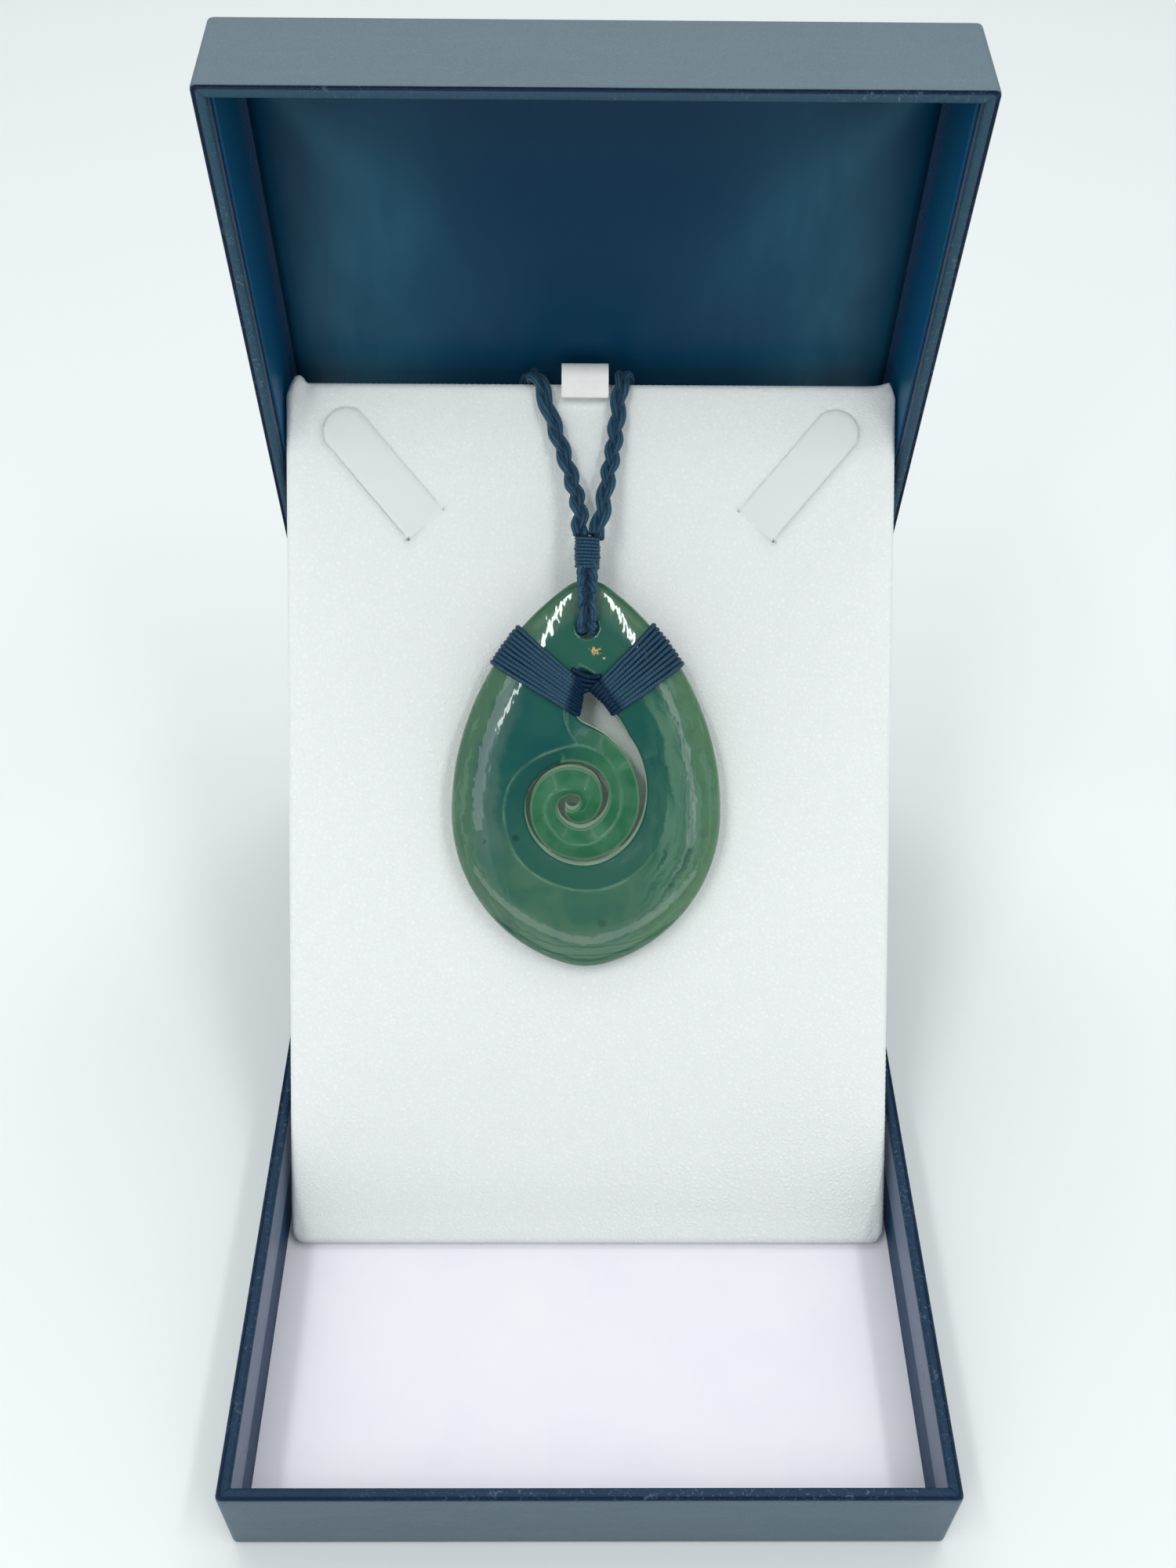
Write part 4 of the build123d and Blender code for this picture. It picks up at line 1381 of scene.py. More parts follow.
    def look(self) -> Material:
        """Makes polished green stone: teal heart, lighter rim and coil, veins, flecks and a gold inclusion, with
        painted highlights along the ridges and the opening's edge, a painted reflection band on the left and a painted
        self-lit colour on the slot's walls.

        Returns:
            The material.
        """
        material, g, shader = new_material(self.finish)
        vector = object_vector(g)
        rim, across, up, bevel, coil, ridge, edge, wall = (
            g.attribute(n) for n in ("rim", "across", "up", "bevel", "coil", "ridge", "edge", "wall")
        )
        cloud = g.noise(vector, 120.0, 4.0, 0.55, 0.5)
        low = g.span(up, 2.0, -18.0)
        heart = g.mix(low, srgb(26, 83, 81), srgb(76, 115, 92))
        heart = g.mix(g.span(up, 10.0, 18.0), heart, srgb(48, 98, 84))
        heart = g.mix(g.span(cloud, 0.42, 0.66, 0.0, 0.6), heart, srgb(44, 98, 86))
        wavy = g.add(rim, g.mul(g.sub(g.noise(vector, 260.0, 4.0, 0.65), 0.5), 3.2))
        right = g.span(across, 2.0, 15.0)
        light = g.mix(right, srgb(64, 106, 80), srgb(72, 118, 82))
        light = g.mix(g.span(g.noise(vector, 420.0, 3.0, 0.6), 0.5, 0.72), light, srgb(66, 104, 84))
        streak = g.noise(g.combine(wavy, g.mul(up, 0.12)), 0.8, 3.0, 0.6)
        streaky = g.mix(g.span(streak, 0.38, 0.6), srgb(46, 98, 78), srgb(90, 130, 108))
        heart = g.mix(g.mul(g.span(across, 7.0, 12.5), 0.85), heart, streaky)
        light = g.mix(g.mul(g.span(streak, 0.48, 0.62), 0.6), light, srgb(92, 130, 106))
        body = g.mix(g.span(wavy, 2.2, 4.4, 1.0, 0.0), heart, light)
        vein_line = g.magnitude(g.sub(wavy, 6.4))
        vein = g.mul(g.span(vein_line, 0.25, 1.3, 1.0, 0.0), g.mul(right, g.span(up, -16.0, -4.0)))
        body = g.mix(g.mul(vein, 0.75), body, srgb(86, 126, 104))
        dark_line = g.magnitude(g.sub(wavy, 4.4))
        dark = g.mul(g.span(dark_line, 0.0, 0.35, 1.0, 0.0), right)
        body = g.mix(g.mul(dark, 0.6), body, srgb(30, 74, 62))
        # Painted reflection: a grey band on the left shoulder, standing for a pale wall to the left mirrored in the
        # stone.
        grey = g.mul(g.span(g.magnitude(g.sub(wavy, 5.6)), 0.7, 2.2, 1.0, 0.0), g.span(across, -8.0, -13.0))
        grey = g.mul(grey, g.span(up, -15.0, -9.0))
        body = g.mix(g.mul(grey, 0.5), body, srgb(88, 116, 108))
        flank = g.mix(g.span(cloud, 0.4, 0.62), srgb(4, 79, 72), srgb(22, 88, 74))
        body = g.mix(g.mul(g.span(bevel, 0.02, 0.12), 0.7), body, flank)
        inner = g.mix(g.span(g.noise(vector, 300.0, 2.0), 0.35, 0.65), srgb(40, 106, 68), srgb(62, 120, 84))
        body = g.mix(g.mul(coil, 0.85), body, inner)
        # Painted highlight: thin light lines along the carving's ridges, fading on the right arm.
        painted_ridge_highlight = g.mul(g.math("POWER", ridge, 1.5), g.span(g.noise(vector, 260.0, 2.0), 0.35, 0.65, 0.12, 0.5))
        painted_ridge_highlight = g.mul(painted_ridge_highlight, g.span(across, 5.5, 11.0, 1.0, 0.3))
        body = g.mix(painted_ridge_highlight, body, srgb(126, 164, 138))
        # Painted highlight: a pale line along the opening's edge on the coil.
        body = g.mix(g.mul(edge, 0.8), body, srgb(104, 140, 112))
        for height, depth in ((-26.2, 0.16), (-27.6, 0.2)):
            bend = g.mul(g.mul(across, across), 0.021)
            level = g.sub(g.sub(up, height), bend)
            line = g.magnitude(g.add(level, g.mul(cloud, 0.8)))
            mark = g.mul(g.span(line, 0.0, depth, 1.0, 0.0), g.span(g.magnitude(across), 6.0, 11.0, 1.0, 0.0))
            body = g.mix(g.mul(mark, 0.65), body, srgb(18, 66, 54))
        ragged = g.mul(g.sub(g.noise(vector, 900.0, 3.0, 0.7), 0.5), 2.0)
        for x, y, reach, depth in DARK_SPOTS:
            far = g.add(g.distance_to((across, up), x, y, reach), ragged)
            body = g.mix(g.mul(g.span(far, 0.4, 1.2, 1.0, 0.0), depth), body, srgb(14, 50, 62))
        gold = self.gold_mask(g, across, up, vector)
        glitter = g.span(g.noise(vector, 5200.0, 2.0, 0.8), 0.4, 0.6)
        body = g.mix(gold, body, g.mix(glitter, srgb(116, 84, 40), srgb(240, 214, 146)))
        # Painted light: the slot's walls take a pale colour and give off light themselves, standing for light that
        # passes through the translucent stone.
        through = g.mix(g.span(g.noise(vector, 200.0, 2.0), 0.3, 0.7), srgb(118, 146, 126), srgb(142, 162, 146))
        body = g.mix(wall, body, through)
        g.link(body, shader.inputs["Base Color"])
        g.link(through, shader.inputs["Emission Color"])
        g.link(g.mul(wall, 0.5), shader.inputs["Emission Strength"])
        carved = g.mul(g.span(bevel, 0.0, 0.15), 0.26)
        g.link(g.add(g.add(0.1, carved), g.mul(gold, 0.25)), shader.inputs["Roughness"])
        g.link(g.span(bevel, 0.02, 0.15, 0.9, 0.03), shader.inputs["Coat Weight"])
        shader.inputs["Subsurface Radius"].default_value = (0.4, 1.0, 0.7)
        shader.inputs["Subsurface Scale"].default_value = 0.001
        brushed = g.mapped(vector, Scale=(1.0, 0.45, 0.45))
        ripple = g.add(g.noise(brushed, 1000.0, 1.0, 0.5), g.mul(g.noise(vector, 330.0, 1.0), 0.5))
        near_rim = g.span(rim, 6.0, 9.5, 1.0, 0.3)
        rippled = g.bump(g.mul(ripple, near_rim), 0.000035)
        g.link(rippled, shader.inputs["Normal"])
        g.link(rippled, shader.inputs["Coat Normal"])
        return material

    def gold_mask(self, g: Graph, across: NodeSocket, up: NodeSocket, vector: NodeSocket) -> NodeSocket:
        """Marks the small gold inclusion below the hole.

        Args:
            g: The material's graph.
            across: Place across the stone.
            up: Place up the stone.
            vector: The piece's coordinates.

        Returns:
            The mask.
        """
        spread = g.mul(g.sub(g.noise(vector, 2400.0, 3.0, 0.8), 0.47), 4.5)
        masks = []
        for x, y, reach in GOLD_SPOTS:
            far = g.distance_to((across, up), x, y, reach, 0.62)
            masks.append(g.span(g.add(far, spread), 0.7, 0.95, 1.0, 0.0))
        return g.math("MAXIMUM", masks[0], masks[1])


# ---- Cord, bail, lashings, whipping and clasp


@dataclass(frozen=True)
class Plait:
    """A plait of three plies: its period, each ply's sway, lift and radius, and where its first turn starts."""

    period: float
    sway: float
    depth: float
    radius: float
    phase: float

    def tubes(self, line: np.ndarray, start_normal: Vector, ends: float = 2.5) -> list:
        """Winds three strands round a centreline.

        Args:
            line: The centreline.
            start_normal: Direction out of the plait's flat side at its start.
            ends: Length over which the strands gather at each end.

        Returns:
            Three tubes.
        """
        tangents = unit_rows(np.gradient(line, axis=0))
        normals = parallel_frames(tangents, start_normal)
        sideways = np.cross(normals, tangents)
        along = lengths_along(line)
        total = along[-1]
        gather = np.clip((total - along) / ends, 0, 1) * 0.4 + 0.6
        thick = 1 + 0.13 * np.exp(-along / 5.0)
        rng = np.random.default_rng(SEED + int(self.phase * 10))
        wobble = np.interp(along, np.linspace(0, total, 24), rng.normal(0, 0.12, 24))
        tubes = []
        for k in range(3):
            turn = 2 * math.pi * (along / self.period + wobble + k / 3) + self.phase
            sway = self.sway * gather * np.sin(turn)
            lift = self.depth * gather * np.sin(2 * turn)
            centre = line + sideways * sway[:, None] + normals * lift[:, None]
            uneven = np.interp(along, np.linspace(0, total, 60), rng.normal(0, 0.04, 60))
            swell = self.radius * thick * (1 - 0.2 * np.cos(2 * turn) + uneven)
            tubes.append(tube(centre, swell, PLY_SIDES, start_normal=start_normal))
        return tubes


STRAND_PLAITS = {Side.LEFT: Plait(12.4, 0.66, 0.4, 0.6, 0.4), Side.RIGHT: Plait(12.4, 0.66, 0.4, 0.6, 2.6)}
BAIL_PLAIT = Plait(6.4, 0.86, 0.42, 0.6, 0.9)


@dataclass(frozen=True)
class CordWork:
    """The plaited cord, its bail, its threads and its clasp."""

    diameter: float = 2.4
    gap: float = 0.25
    rest_gap: float = 0.15
    strand_spacing: float = 2.5
    thread: float = 0.67
    turns: int = 10
    whipping_turns: int = 9
    whipping_thread: float = 0.58
    whipping_pitch: float = 0.54
    whipping_width: float = 3.75
    whipping_top_depth: float = 3.7
    whipping_foot_depth: float = 6.6
    whipping_above_stone: float = 1.7
    clasp_length: float = 12.0
    clasp_diameter: float = 4.8
    clasp_from_front: float = 58.0
    clasp_lead: float = 6.0

    def fibre_look(
        self, finish: Finish, fibres: NodeTree, colors: tuple, pitch: float, plies: float, depth: float
    ) -> Material:
        """Makes a waxed cord or thread, with painted shade between its plies and where each piece marks it as shaded.

        Args:
            finish: Its fixed values.
            fibres: The twisted fibre group.
            colors: Colour of the fibres, and the darker colour painted between them as shade.
            pitch: Millimetres along the tube for one ply to pass.
            plies: Plies round the tube.
            depth: Depth of the twist, in metres.

        Returns:
            The material.
        """
        material, g, shader = new_material(finish)
        uv = g.node("ShaderNodeUVMap", uv_map="fibre").outputs["UV"]
        twist = g.group(fibres, uv, Pitch=pitch, Plies=plies)
        # Painted shade: the darker colour between the plies.
        base = g.mix(g.span(twist["GrooveShade"], 0.35, 1.0), *colors)
        base = g.mix(g.mul(g.span(g.noise(uv, 1.1, 4.0, 0.7), 0.5, 0.7), 0.35), base, srgb(70, 96, 112))
        # Painted shade: darker where a piece marks its shaded parts.
        g.link(g.mix(g.attribute("painted_shade"), base, srgb(0, 38, 64)), shader.inputs["Base Color"])
        g.link(g.bump(twist["Height"], depth), shader.inputs["Normal"])
        return material

    def fibre_mesh(self, name: str, tubes: list, frame: Matrix) -> tuple:
        """Joins wound tubes into one mesh with the map of their fibres.

        Args:
            name: The mesh's name.
            tubes: Results of tube().
            frame: Their frame's place, in millimetres.

        Returns:
            The mesh and its points in that frame.
        """
        points, faces, along, turn = join_tubes(tubes)
        mesh = mesh_of(name, to_row(points, frame), faces)
        add_fibre_uv(mesh, along, turn)
        return mesh, points

    def whipping_span(self) -> tuple:
        """Returns where the whipping starts and ends above the stone's middle."""
        low = STONE.top + self.whipping_above_stone
        return low, low + self.whipping_turns * self.whipping_pitch

    def strand_corners(self, side: Side) -> list:
        """Lists one strand's corners from the whipping to the clasp, in the row frame.

        Args:
            side: Which strand.

        Returns:
            The corners, in millimetres.
        """
        pad = PAD.frame()
        _, high = self.whipping_span()
        rest = self.diameter / 2 + self.rest_gap
        corners = [STONE.frame() @ Vector((side.value * self.strand_spacing / 2, high, 0))]
        corners += [pad @ Vector(p) for p in ON_PAD[side]]
        over, back_of = OVER_EDGE[side]
        over_corner = pad @ Vector((over, PAD.length + rest, rest))
        edge = pad @ Vector((0, PAD.length, -PAD.thickness))
        back_run = (edge.y + rest - over_corner.y) / math.sin(math.radians(PAD.tilt))
        corners += [over_corner, pad @ Vector((back_of, PAD.length + rest, rest - back_run))]
        corners += [Vector((x, y - BOX.depth / 2, z)) for x, y, z in BEHIND[side]]
        height = BOX.floor_board + BOX.floor_card + self.rest_gap + self.clasp_diameter / 2
        clasp_y = self.clasp_from_front - BOX.depth / 2
        along = self.clasp_length / 2
        corners.append(Vector((side.value * (along + self.clasp_lead), clasp_y, height)))
        corners.append(Vector((side.value * along, clasp_y, height)))
        return corners

    def make_strand(self, side: Side) -> tuple:
        """Builds one strand of the neck cord.

        Args:
            side: Which strand.

        Returns:
            The strand, its centreline in millimetres and its length in metres.
        """
        corners = self.strand_corners(side)
        over = 1 + len(ON_PAD[side])
        fixed = {over: self.diameter * 1.02, over + 1: self.diameter * 1.05}
        line = route_line(corners, fixed, STRAND_STEP)
        out = PAD.frame().to_3x3() @ Vector((0, 0, 1))
        name = f"neck_strand_{side.name.lower()}"
        mesh, points = self.fibre_mesh(name, STRAND_PLAITS[side].tubes(line, out), Matrix.Identity(4))
        from_middle, _ = nearest(points, line)
        # Painted shade: darker on the plies' faces near the cord's middle, where they press together.
        store(mesh, "painted_shade", np.clip((0.85 - from_middle) / 0.45, 0, 1) * 0.5)
        node = f"neck_cord_{side.name.lower()}"
        obj = add_piece(name, mesh, Slot.CORD, Body.BASE, node)
        length = float(np.linalg.norm(np.diff(line, axis=0), axis=1).sum()) * MM
        LOG.info("%s: length %.4f m", name, length)
        return obj, line, length

    def make(self) -> list:
        """Builds both strands, the bail, the whipping and the clasp.

        Returns:
            Each strand with its centreline in millimetres, its length in metres and the pieces on it.
        """
        left, right = self.make_strand(Side.LEFT), self.make_strand(Side.RIGHT)
        bail, whipping, clasp = self.make_bail(), self.make_whipping(), self.make_clasp()
        return [(*left, [bail, whipping]), (*right, [clasp])]

    def make_bail(self) -> Object:
        """Builds the flat doubled loop through the hole.

        Returns:
            The loop.
        """
        low, _ = self.whipping_span()
        leg = self.diameter / 2 + self.gap
        foot_in = self.whipping_foot_depth / 2 - self.diameter / 2
        front = STONE.dome(0, STONE.hole_up, STONE.front_dome) + leg
        back = STONE.dome(0, STONE.hole_up, STONE.back_dome) + leg
        rim_front = STONE.dome(0, STONE.top, STONE.front_dome) + leg
        rim_back = STONE.dome(0, STONE.top, STONE.back_dome) + leg
        shoulder = STONE.top - 1.0
        corners = [
            Vector((0, low + 0.6, foot_in - 0.2)),
            Vector((0, shoulder, rim_front)),
            Vector((0, STONE.hole_up - 0.25, front - 0.1)),
            Vector((0, STONE.hole_up - 0.25, -back + 0.1)),
            Vector((0, shoulder, -rim_back)),
            Vector((0, low + 0.6, -foot_in + 0.2)),
        ]
        line = route_line(corners, {2: 2.2, 3: 2.2}, THREAD_STEP)
        mesh, points = self.fibre_mesh("bail_loop", BAIL_PLAIT.tubes(line, Vector((0, 0, 1)), 0.1), STONE.frame())
        from_middle, _ = nearest(points, line)
        # Painted shade: darker on the plies' faces near the loop's middle, where they press together.
        store(mesh, "painted_shade", np.clip((0.9 - from_middle) / 0.4, 0, 1) * 0.8)
        return add_piece("bail_loop", mesh, Slot.CORD, Body.BASE, "bail_cord")

    def arm_section(self, inner: np.ndarray, outer: np.ndarray, lift: float) -> np.ndarray:
        """Traces a thread's path once round an arm of the stone, a fixed distance off its surface.

        Args:
            inner: Where it crosses the mouth's edge.
            outer: Where it crosses the outline.
            lift: Distance of the thread's middle from the surface.

        Returns:
            Points in the stone frame: over the front, round the outline, and back behind.
        """
        along = outer - inner
        length = np.linalg.norm(along)
        along = along / length
        near = np.array([0.02, 0.25, 0.5, 0.8, 1.2, 1.7, 2.3])
        edge = length - np.array([2.4, 1.7, 1.15, 0.7, 0.38, 0.17, 0.05, 0.0])
        run = np.concatenate([near, np.linspace(3.2, edge[0] - 0.8, 6), edge])
        front, back = STONE.heights(inner + np.outer(run, along))[:2]
        front[-1] = back[-1] = 0.0
        track = np.vstack([np.column_stack([run, front]), np.column_stack([run, -back])[::-1][1:]])
        step = np.gradient(track, axis=0)
        step /= np.linalg.norm(step, axis=1)[:, None] + 1e-9
        normal = np.column_stack([-step[:, 1], step[:, 0]])
        for _ in range(2):
            normal[1:-1] = (normal[:-2] + 2 * normal[1:-1] + normal[2:]) / 4
        track = track + unit_rows(normal) * lift
        well = np.array([[-lift, -back[0] + 0.5], [-lift, front[0] - 0.5]])
        track = np.vstack([track, well])
        return np.column_stack([inner + np.outer(track[:, 0], along), track[:, 1]])

    def make_lashing(self, side: Side) -> Object:
        """Builds one lashing as a thread wound round its arm, and on the left the turns that cross the mouth.

        Args:
            side: Which arm.

        Returns:
            The lashing.
        """
        band = BANDS[side]
        outline = resample(STONE.loops[0], EDGE_STEP)
        rng = np.random.default_rng(SEED + side.value)
        turns = []
        for k in range(self.turns):
            inner, direction = band.turn_at(k / (self.turns - 1))
            rays = outline - inner
            ahead = rays @ direction
            off = np.abs(rays[:, 0] * direction[1] - rays[:, 1] * direction[0])
            outer = outline[np.argmin(off + np.where(ahead > 0, 0, 1e3))]
            lift = self.thread / 2 - 0.02 + abs(rng.normal(0, 0.05))
            turns.append(self.arm_section(inner, outer, lift))
        count = len(turns[0])
        over, under = count // 2, count - count // 2
        path = []
        for k, section in enumerate(turns):
            follow = turns[min(k + 1, len(turns) - 1)]
            ramp = np.concatenate([np.zeros(over), np.linspace(0, 1, under)])[:, None]
            path.append(section * (1 - ramp) + follow * ramp)
        line = smooth_line(np.vstack(path), THREAD_STEP)
        sway = np.interp(np.arange(len(line)), np.linspace(0, len(line), 160), rng.normal(0, 0.035, 160))
        line[:, 1] += sway
        lines = [line]
        if side is Side.LEFT:
            lines += [smooth_line(np.array(crossing), THREAD_STEP) for crossing in CROSSINGS]
        else:
            lines += band.hanging_turns()
        gap, _ = nearest(line[:, :2], outline)
        radii = [self.thread / 2 + 0.025 + 0.045 * np.clip(1.2 - gap / 1.6, 0, 1)]
        radii += [self.thread / 2 + 0.03] * (len(lines) - 1)
        name = f"thread_lashing_{side.name.lower()}"
        tubes = [tube(one, radius, THREAD_SIDES) for one, radius in zip(lines, radii)]
        mesh, points = self.fibre_mesh(name, tubes, STONE.frame())
        # Painted shade: full on threads that dive into the mouth and on the crossing and hanging turns, and on each
        # wound thread's sides where it meets its neighbours.
        mouth, _ = nearest(points[:, :2], np.array([(row.x, row.y) for row in MOUTH[1:12]]))
        painted_thread_shade = np.clip((2.0 - mouth) / 0.7, 0, 1)
        wound = len(line) * THREAD_SIDES
        painted_thread_shade[wound:] = 1.0
        middle = np.repeat(line, THREAD_SIDES, axis=0)
        facing = (points[:wound, 2] - middle[:, 2]) * np.sign(middle[:, 2]) / (self.thread / 2)
        shaded = np.clip((0.88 - facing) / 0.3, 0, 1) * np.clip(np.abs(middle[:, 2]) / 1.2 - 0.2, 0, 1)
        painted_thread_shade[:wound] = np.maximum(painted_thread_shade[:wound], shaded * 0.9)
        store(mesh, "painted_shade", painted_thread_shade)
        return add_piece(name, mesh, Slot.THREAD, Body.BASE, f"lashing_{side.name.lower()}")

    def whipping_core(self, low: float, high: float) -> tuple:
        """Fills the inside of the whipping so that no light shows between its turns.

        Args:
            low: Where the whipping starts.
            high: Where it ends.

        Returns:
            A tube's points, faces and lengths.
        """
        line = np.column_stack([np.zeros(6), np.linspace(low + 0.2, high - 0.1, 6), np.zeros(6)])
        points, faces, along = tube(line, 1.0, CORE_SIDES, start_normal=(1, 0, 0))
        rings = points.reshape(6, CORE_SIDES, 3)
        for i, ring in enumerate(rings):
            share = i / 5
            depth = self.whipping_foot_depth + (self.whipping_top_depth - self.whipping_foot_depth) * share
            ring[:, 0] *= (self.whipping_width - 0.6) / 2
            ring[:, 2] *= (depth - 0.7) / 2
        return rings.reshape(-1, 3), faces, along

    def make_whipping(self) -> Object:
        """Builds the whipping as one thread wound round the loop and both strands.

        Returns:
            The whipping.
        """
        low, high = self.whipping_span()
        thread = self.whipping_thread
        samples = self.whipping_turns * 40
        k = np.arange(samples + 1) / samples
        turn = 2 * math.pi * self.whipping_turns * k
        depth = self.whipping_foot_depth + (self.whipping_top_depth - self.whipping_foot_depth) * k
        cos, sin = np.cos(turn), np.sin(turn)
        square = (np.abs(cos) ** 2.6 + np.abs(sin) ** 2.6) ** (-1 / 2.6)
        wide = (self.whipping_width - thread) / 2 + 0.12 * np.sin(np.pi * k)
        line = np.column_stack(
            [wide * square * cos, low + 0.1 + (high - low - 0.2) * k, (depth - thread) / 2 * square * sin]
        )
        line[:, 0] *= 1 + 0.03 * np.sin(turn * 0.37 + 1)
        tubes = [tube(line, thread / 2, THREAD_SIDES), self.whipping_core(low, high)]
        mesh, points = self.fibre_mesh("whipping_thread", tubes, STONE.frame())
        middle = np.repeat(line, THREAD_SIDES, axis=0)
        outward = unit_rows(middle * (1, 0, 1))
        facing = np.sum((points[: len(middle)] - middle) * outward, axis=1) / (thread / 2)
        # Painted shade: on each turn's sides between neighbouring turns, and all over the core inside.
        painted_turn_shade = np.ones(len(points))
        painted_turn_shade[: len(middle)] = np.clip((0.75 - facing) / 0.35, 0, 1)
        store(mesh, "painted_shade", painted_turn_shade * 0.8)
        return add_piece("whipping_thread", mesh, Slot.THREAD, Body.BASE, "cord_whipping")

    def make_clasp(self) -> Object:
        """Builds the plain hidden barrel.

        Returns:
            The clasp.
        """
        half, radius = self.clasp_length / 2, self.clasp_diameter / 2
        profile = [(-half, radius * 0.55), (-half, radius * 0.8), (-half + 0.5, radius)]
        profile += [(-x, r) for x, r in reversed(profile)]
        bm = bmesh.new()
        corners = [bm.verts.new((x, r, 0)) for x, r in profile]
        geom = corners + [bm.edges.new((a, b)) for a, b in zip(corners, corners[1:])]
        bmesh.ops.spin(bm, geom=geom, axis=(1, 0, 0), cent=(0, 0, 0), angle=2 * math.pi, steps=32, use_duplicate=False)
        bmesh.ops.remove_doubles(bm, verts=bm.verts, dist=1e-4)
        bmesh.ops.holes_fill(bm, edges=bm.edges, sides=40)
        height = BOX.floor_board + BOX.floor_card + self.rest_gap + radius
        place = Matrix.Translation((0, self.clasp_from_front - BOX.depth / 2, height))
        mesh = mesh_from_bmesh("clasp_barrel", bm, place)
        return add_piece("clasp_barrel", mesh, Slot.CLASP, Body.BASE, "cord_clasp")


# ---- Box


# The sheet's settings while its padding swells it
SATIN_CLOTH = {
    "vertex_group_mass": "pins",
    "quality": 6,
    "use_pressure": True,
    "uniform_pressure_force": 3.0,
    "tension_stiffness": 12,
    "compression_stiffness": 12,
    "shear_stiffness": 2,
    "bending_stiffness": 0.2,
    "shrink_min": -0.006,
}


@dataclass(frozen=True)
class WallPoint:
    """A point of a tray's wall section: inset from the outside, height, and where it belongs."""

    inset: float
    height: float
    zone: float


@dataclass(frozen=True)
class GiftBox:
    """The gift box of wrapped board: its sizes, its finishes and its pieces."""

    width: float = 100.0
    depth: float = 140.0
    base_height: float = 15.8
    lid_height: float = 16.2
    board: float = 1.9
    floor_board: float = 1.4
    floor_card: float = 0.5
    corner_round: float = 0.9
    rim_round: float = 0.55
    rim_clearance: float = 0.3
    hinge_setback: float = 0.6
    liner: float = 0.5
    liner_drop: float = 2.0
    satin: float = 1.3
    satin_gap: float = 1.1
    satin_points: tuple = (72, 102)
    clearance: float = 0.05

    def hinge_axis(self) -> Vector:
        """Returns a point on the hinge's axis in the row frame, in millimetres."""
        return Vector((0, self.depth / 2 + self.hinge_setback, self.base_height + self.rim_clearance / 2))

    def lid_frame(self) -> Matrix:
        """Places the lid's own frame, outer face down and open side up, in the row frame.

        Returns:
            The matrix, in millimetres.
        """
        axis = self.hinge_axis()
        edge = PAD.frame() @ Vector((0, PAD.length, -PAD.thickness))
        run, rise = edge.y - axis.y, edge.z - axis.z
        stand_off = CORD.diameter + 2 * CORD.gap
        depth = self.lid_height - self.board - self.satin - stand_off + self.rim_clearance / 2
        angle = math.pi - math.asin(depth / math.hypot(run, rise)) - math.atan2(rise, run)
        closed = Matrix.Translation((0, 0, self.base_height + self.rim_clearance + self.lid_height))
        closed @= Matrix.Rotation(math.pi, 4, "X")
        turn = Matrix.Translation(axis) @ Matrix.Rotation(-angle, 4, "X") @ Matrix.Translation(-axis)
        return turn @ closed

    def wrap_look(self, leather: NodeTree) -> Material:
        """Makes the wrap: blue-grey coated paper outside, darker rims, a painted shade line along the rims' outer
        fold, faces and rims painted lighter on the lid for the light there, and a navy lining inside.

        Args:
            leather: The pebbled grain.

        Returns:
            The material.
        """
        material, g, shader = new_material(Finish("blue_grey_wrap", roughness=0.5, specular=0.2))
        vector = object_vector(g)
        zone = g.attribute("zone")
        rim = g.mul(g.span(zone, 0.2, 0.8), g.span(zone, 1.5, 1.9, 1.0, 0.0))
        band = g.mul(g.span(zone, 1.5, 1.9), g.span(zone, 2.2, 2.7, 1.0, 0.0))
        lining = g.span(zone, 2.2, 2.8)
        grain = g.group(leather, vector, Size=2100.0, Softness=0.3)
        streak = g.noise(g.mapped(vector, Scale=(0.16, 1.0, 1.0)), 700.0, 4.0, 0.65)
        tone = g.noise(vector, 38.0, 3.0, 0.6)
        # Painted shade: a dark line along the fold at the rim's outer lip.
        crease_shade_line = g.mul(g.span(zone, 0.3, 0.5), g.span(zone, 0.75, 0.95, 1.0, 0.0))
        face = g.mix(g.span(tone, 0.3, 0.7), srgb(84, 103, 118), srgb(92, 111, 123))
        face = g.mix(g.mul(g.span(streak, 0.45, 0.75), 0.3), face, srgb(106, 122, 132))
        # Painted light: the lid's faces and rims are lighter than the base's, for how light falls on them.
        lid_painted_light = g.span(g.parts(vector)["Z"], 0.02, 0.04)
        face = g.mix(g.mul(lid_painted_light, 0.5), face, srgb(106, 124, 129))
        rim_colour = g.mix(g.span(tone, 0.3, 0.7), srgb(10, 44, 70), srgb(22, 54, 80))
        rim_colour = g.mix(lid_painted_light, rim_colour, srgb(46, 80, 100))
        base = g.mix(rim, face, rim_colour)
        base = g.mix(crease_shade_line, base, srgb(8, 34, 60))
        crack = g.noise(vector, 1300.0, 4.0, 0.75, 1.2)
        cracks = g.mul(g.mul(g.span(crack, 0.56, 0.64), g.span(tone, 0.4, 0.55)), rim)
        base = g.mix(g.mul(cracks, 0.3), base, srgb(136, 158, 170))
        base = g.mix(band, base, srgb(102, 117, 141))
        base = g.mix(lining, base, srgb(22, 56, 90))
        # Painted shade in the grain's hollows.
        base = g.mix(g.mul(grain["CreaseShade"], 0.12), base, srgb(30, 42, 56))
        g.link(base, shader.inputs["Base Color"])
        g.link(g.sub(g.span(tone, 0.2, 0.8, 0.4, 0.52), g.mul(band, 0.16)), shader.inputs["Roughness"])
        wrinkle = g.bump(g.add(g.noise(vector, 240.0, 3.0, 0.6), g.mul(crack, rim)), 0.0001)
        g.link(g.bump(grain["Height"], 0.00003, Normal=wrinkle), shader.inputs["Normal"])
        return material

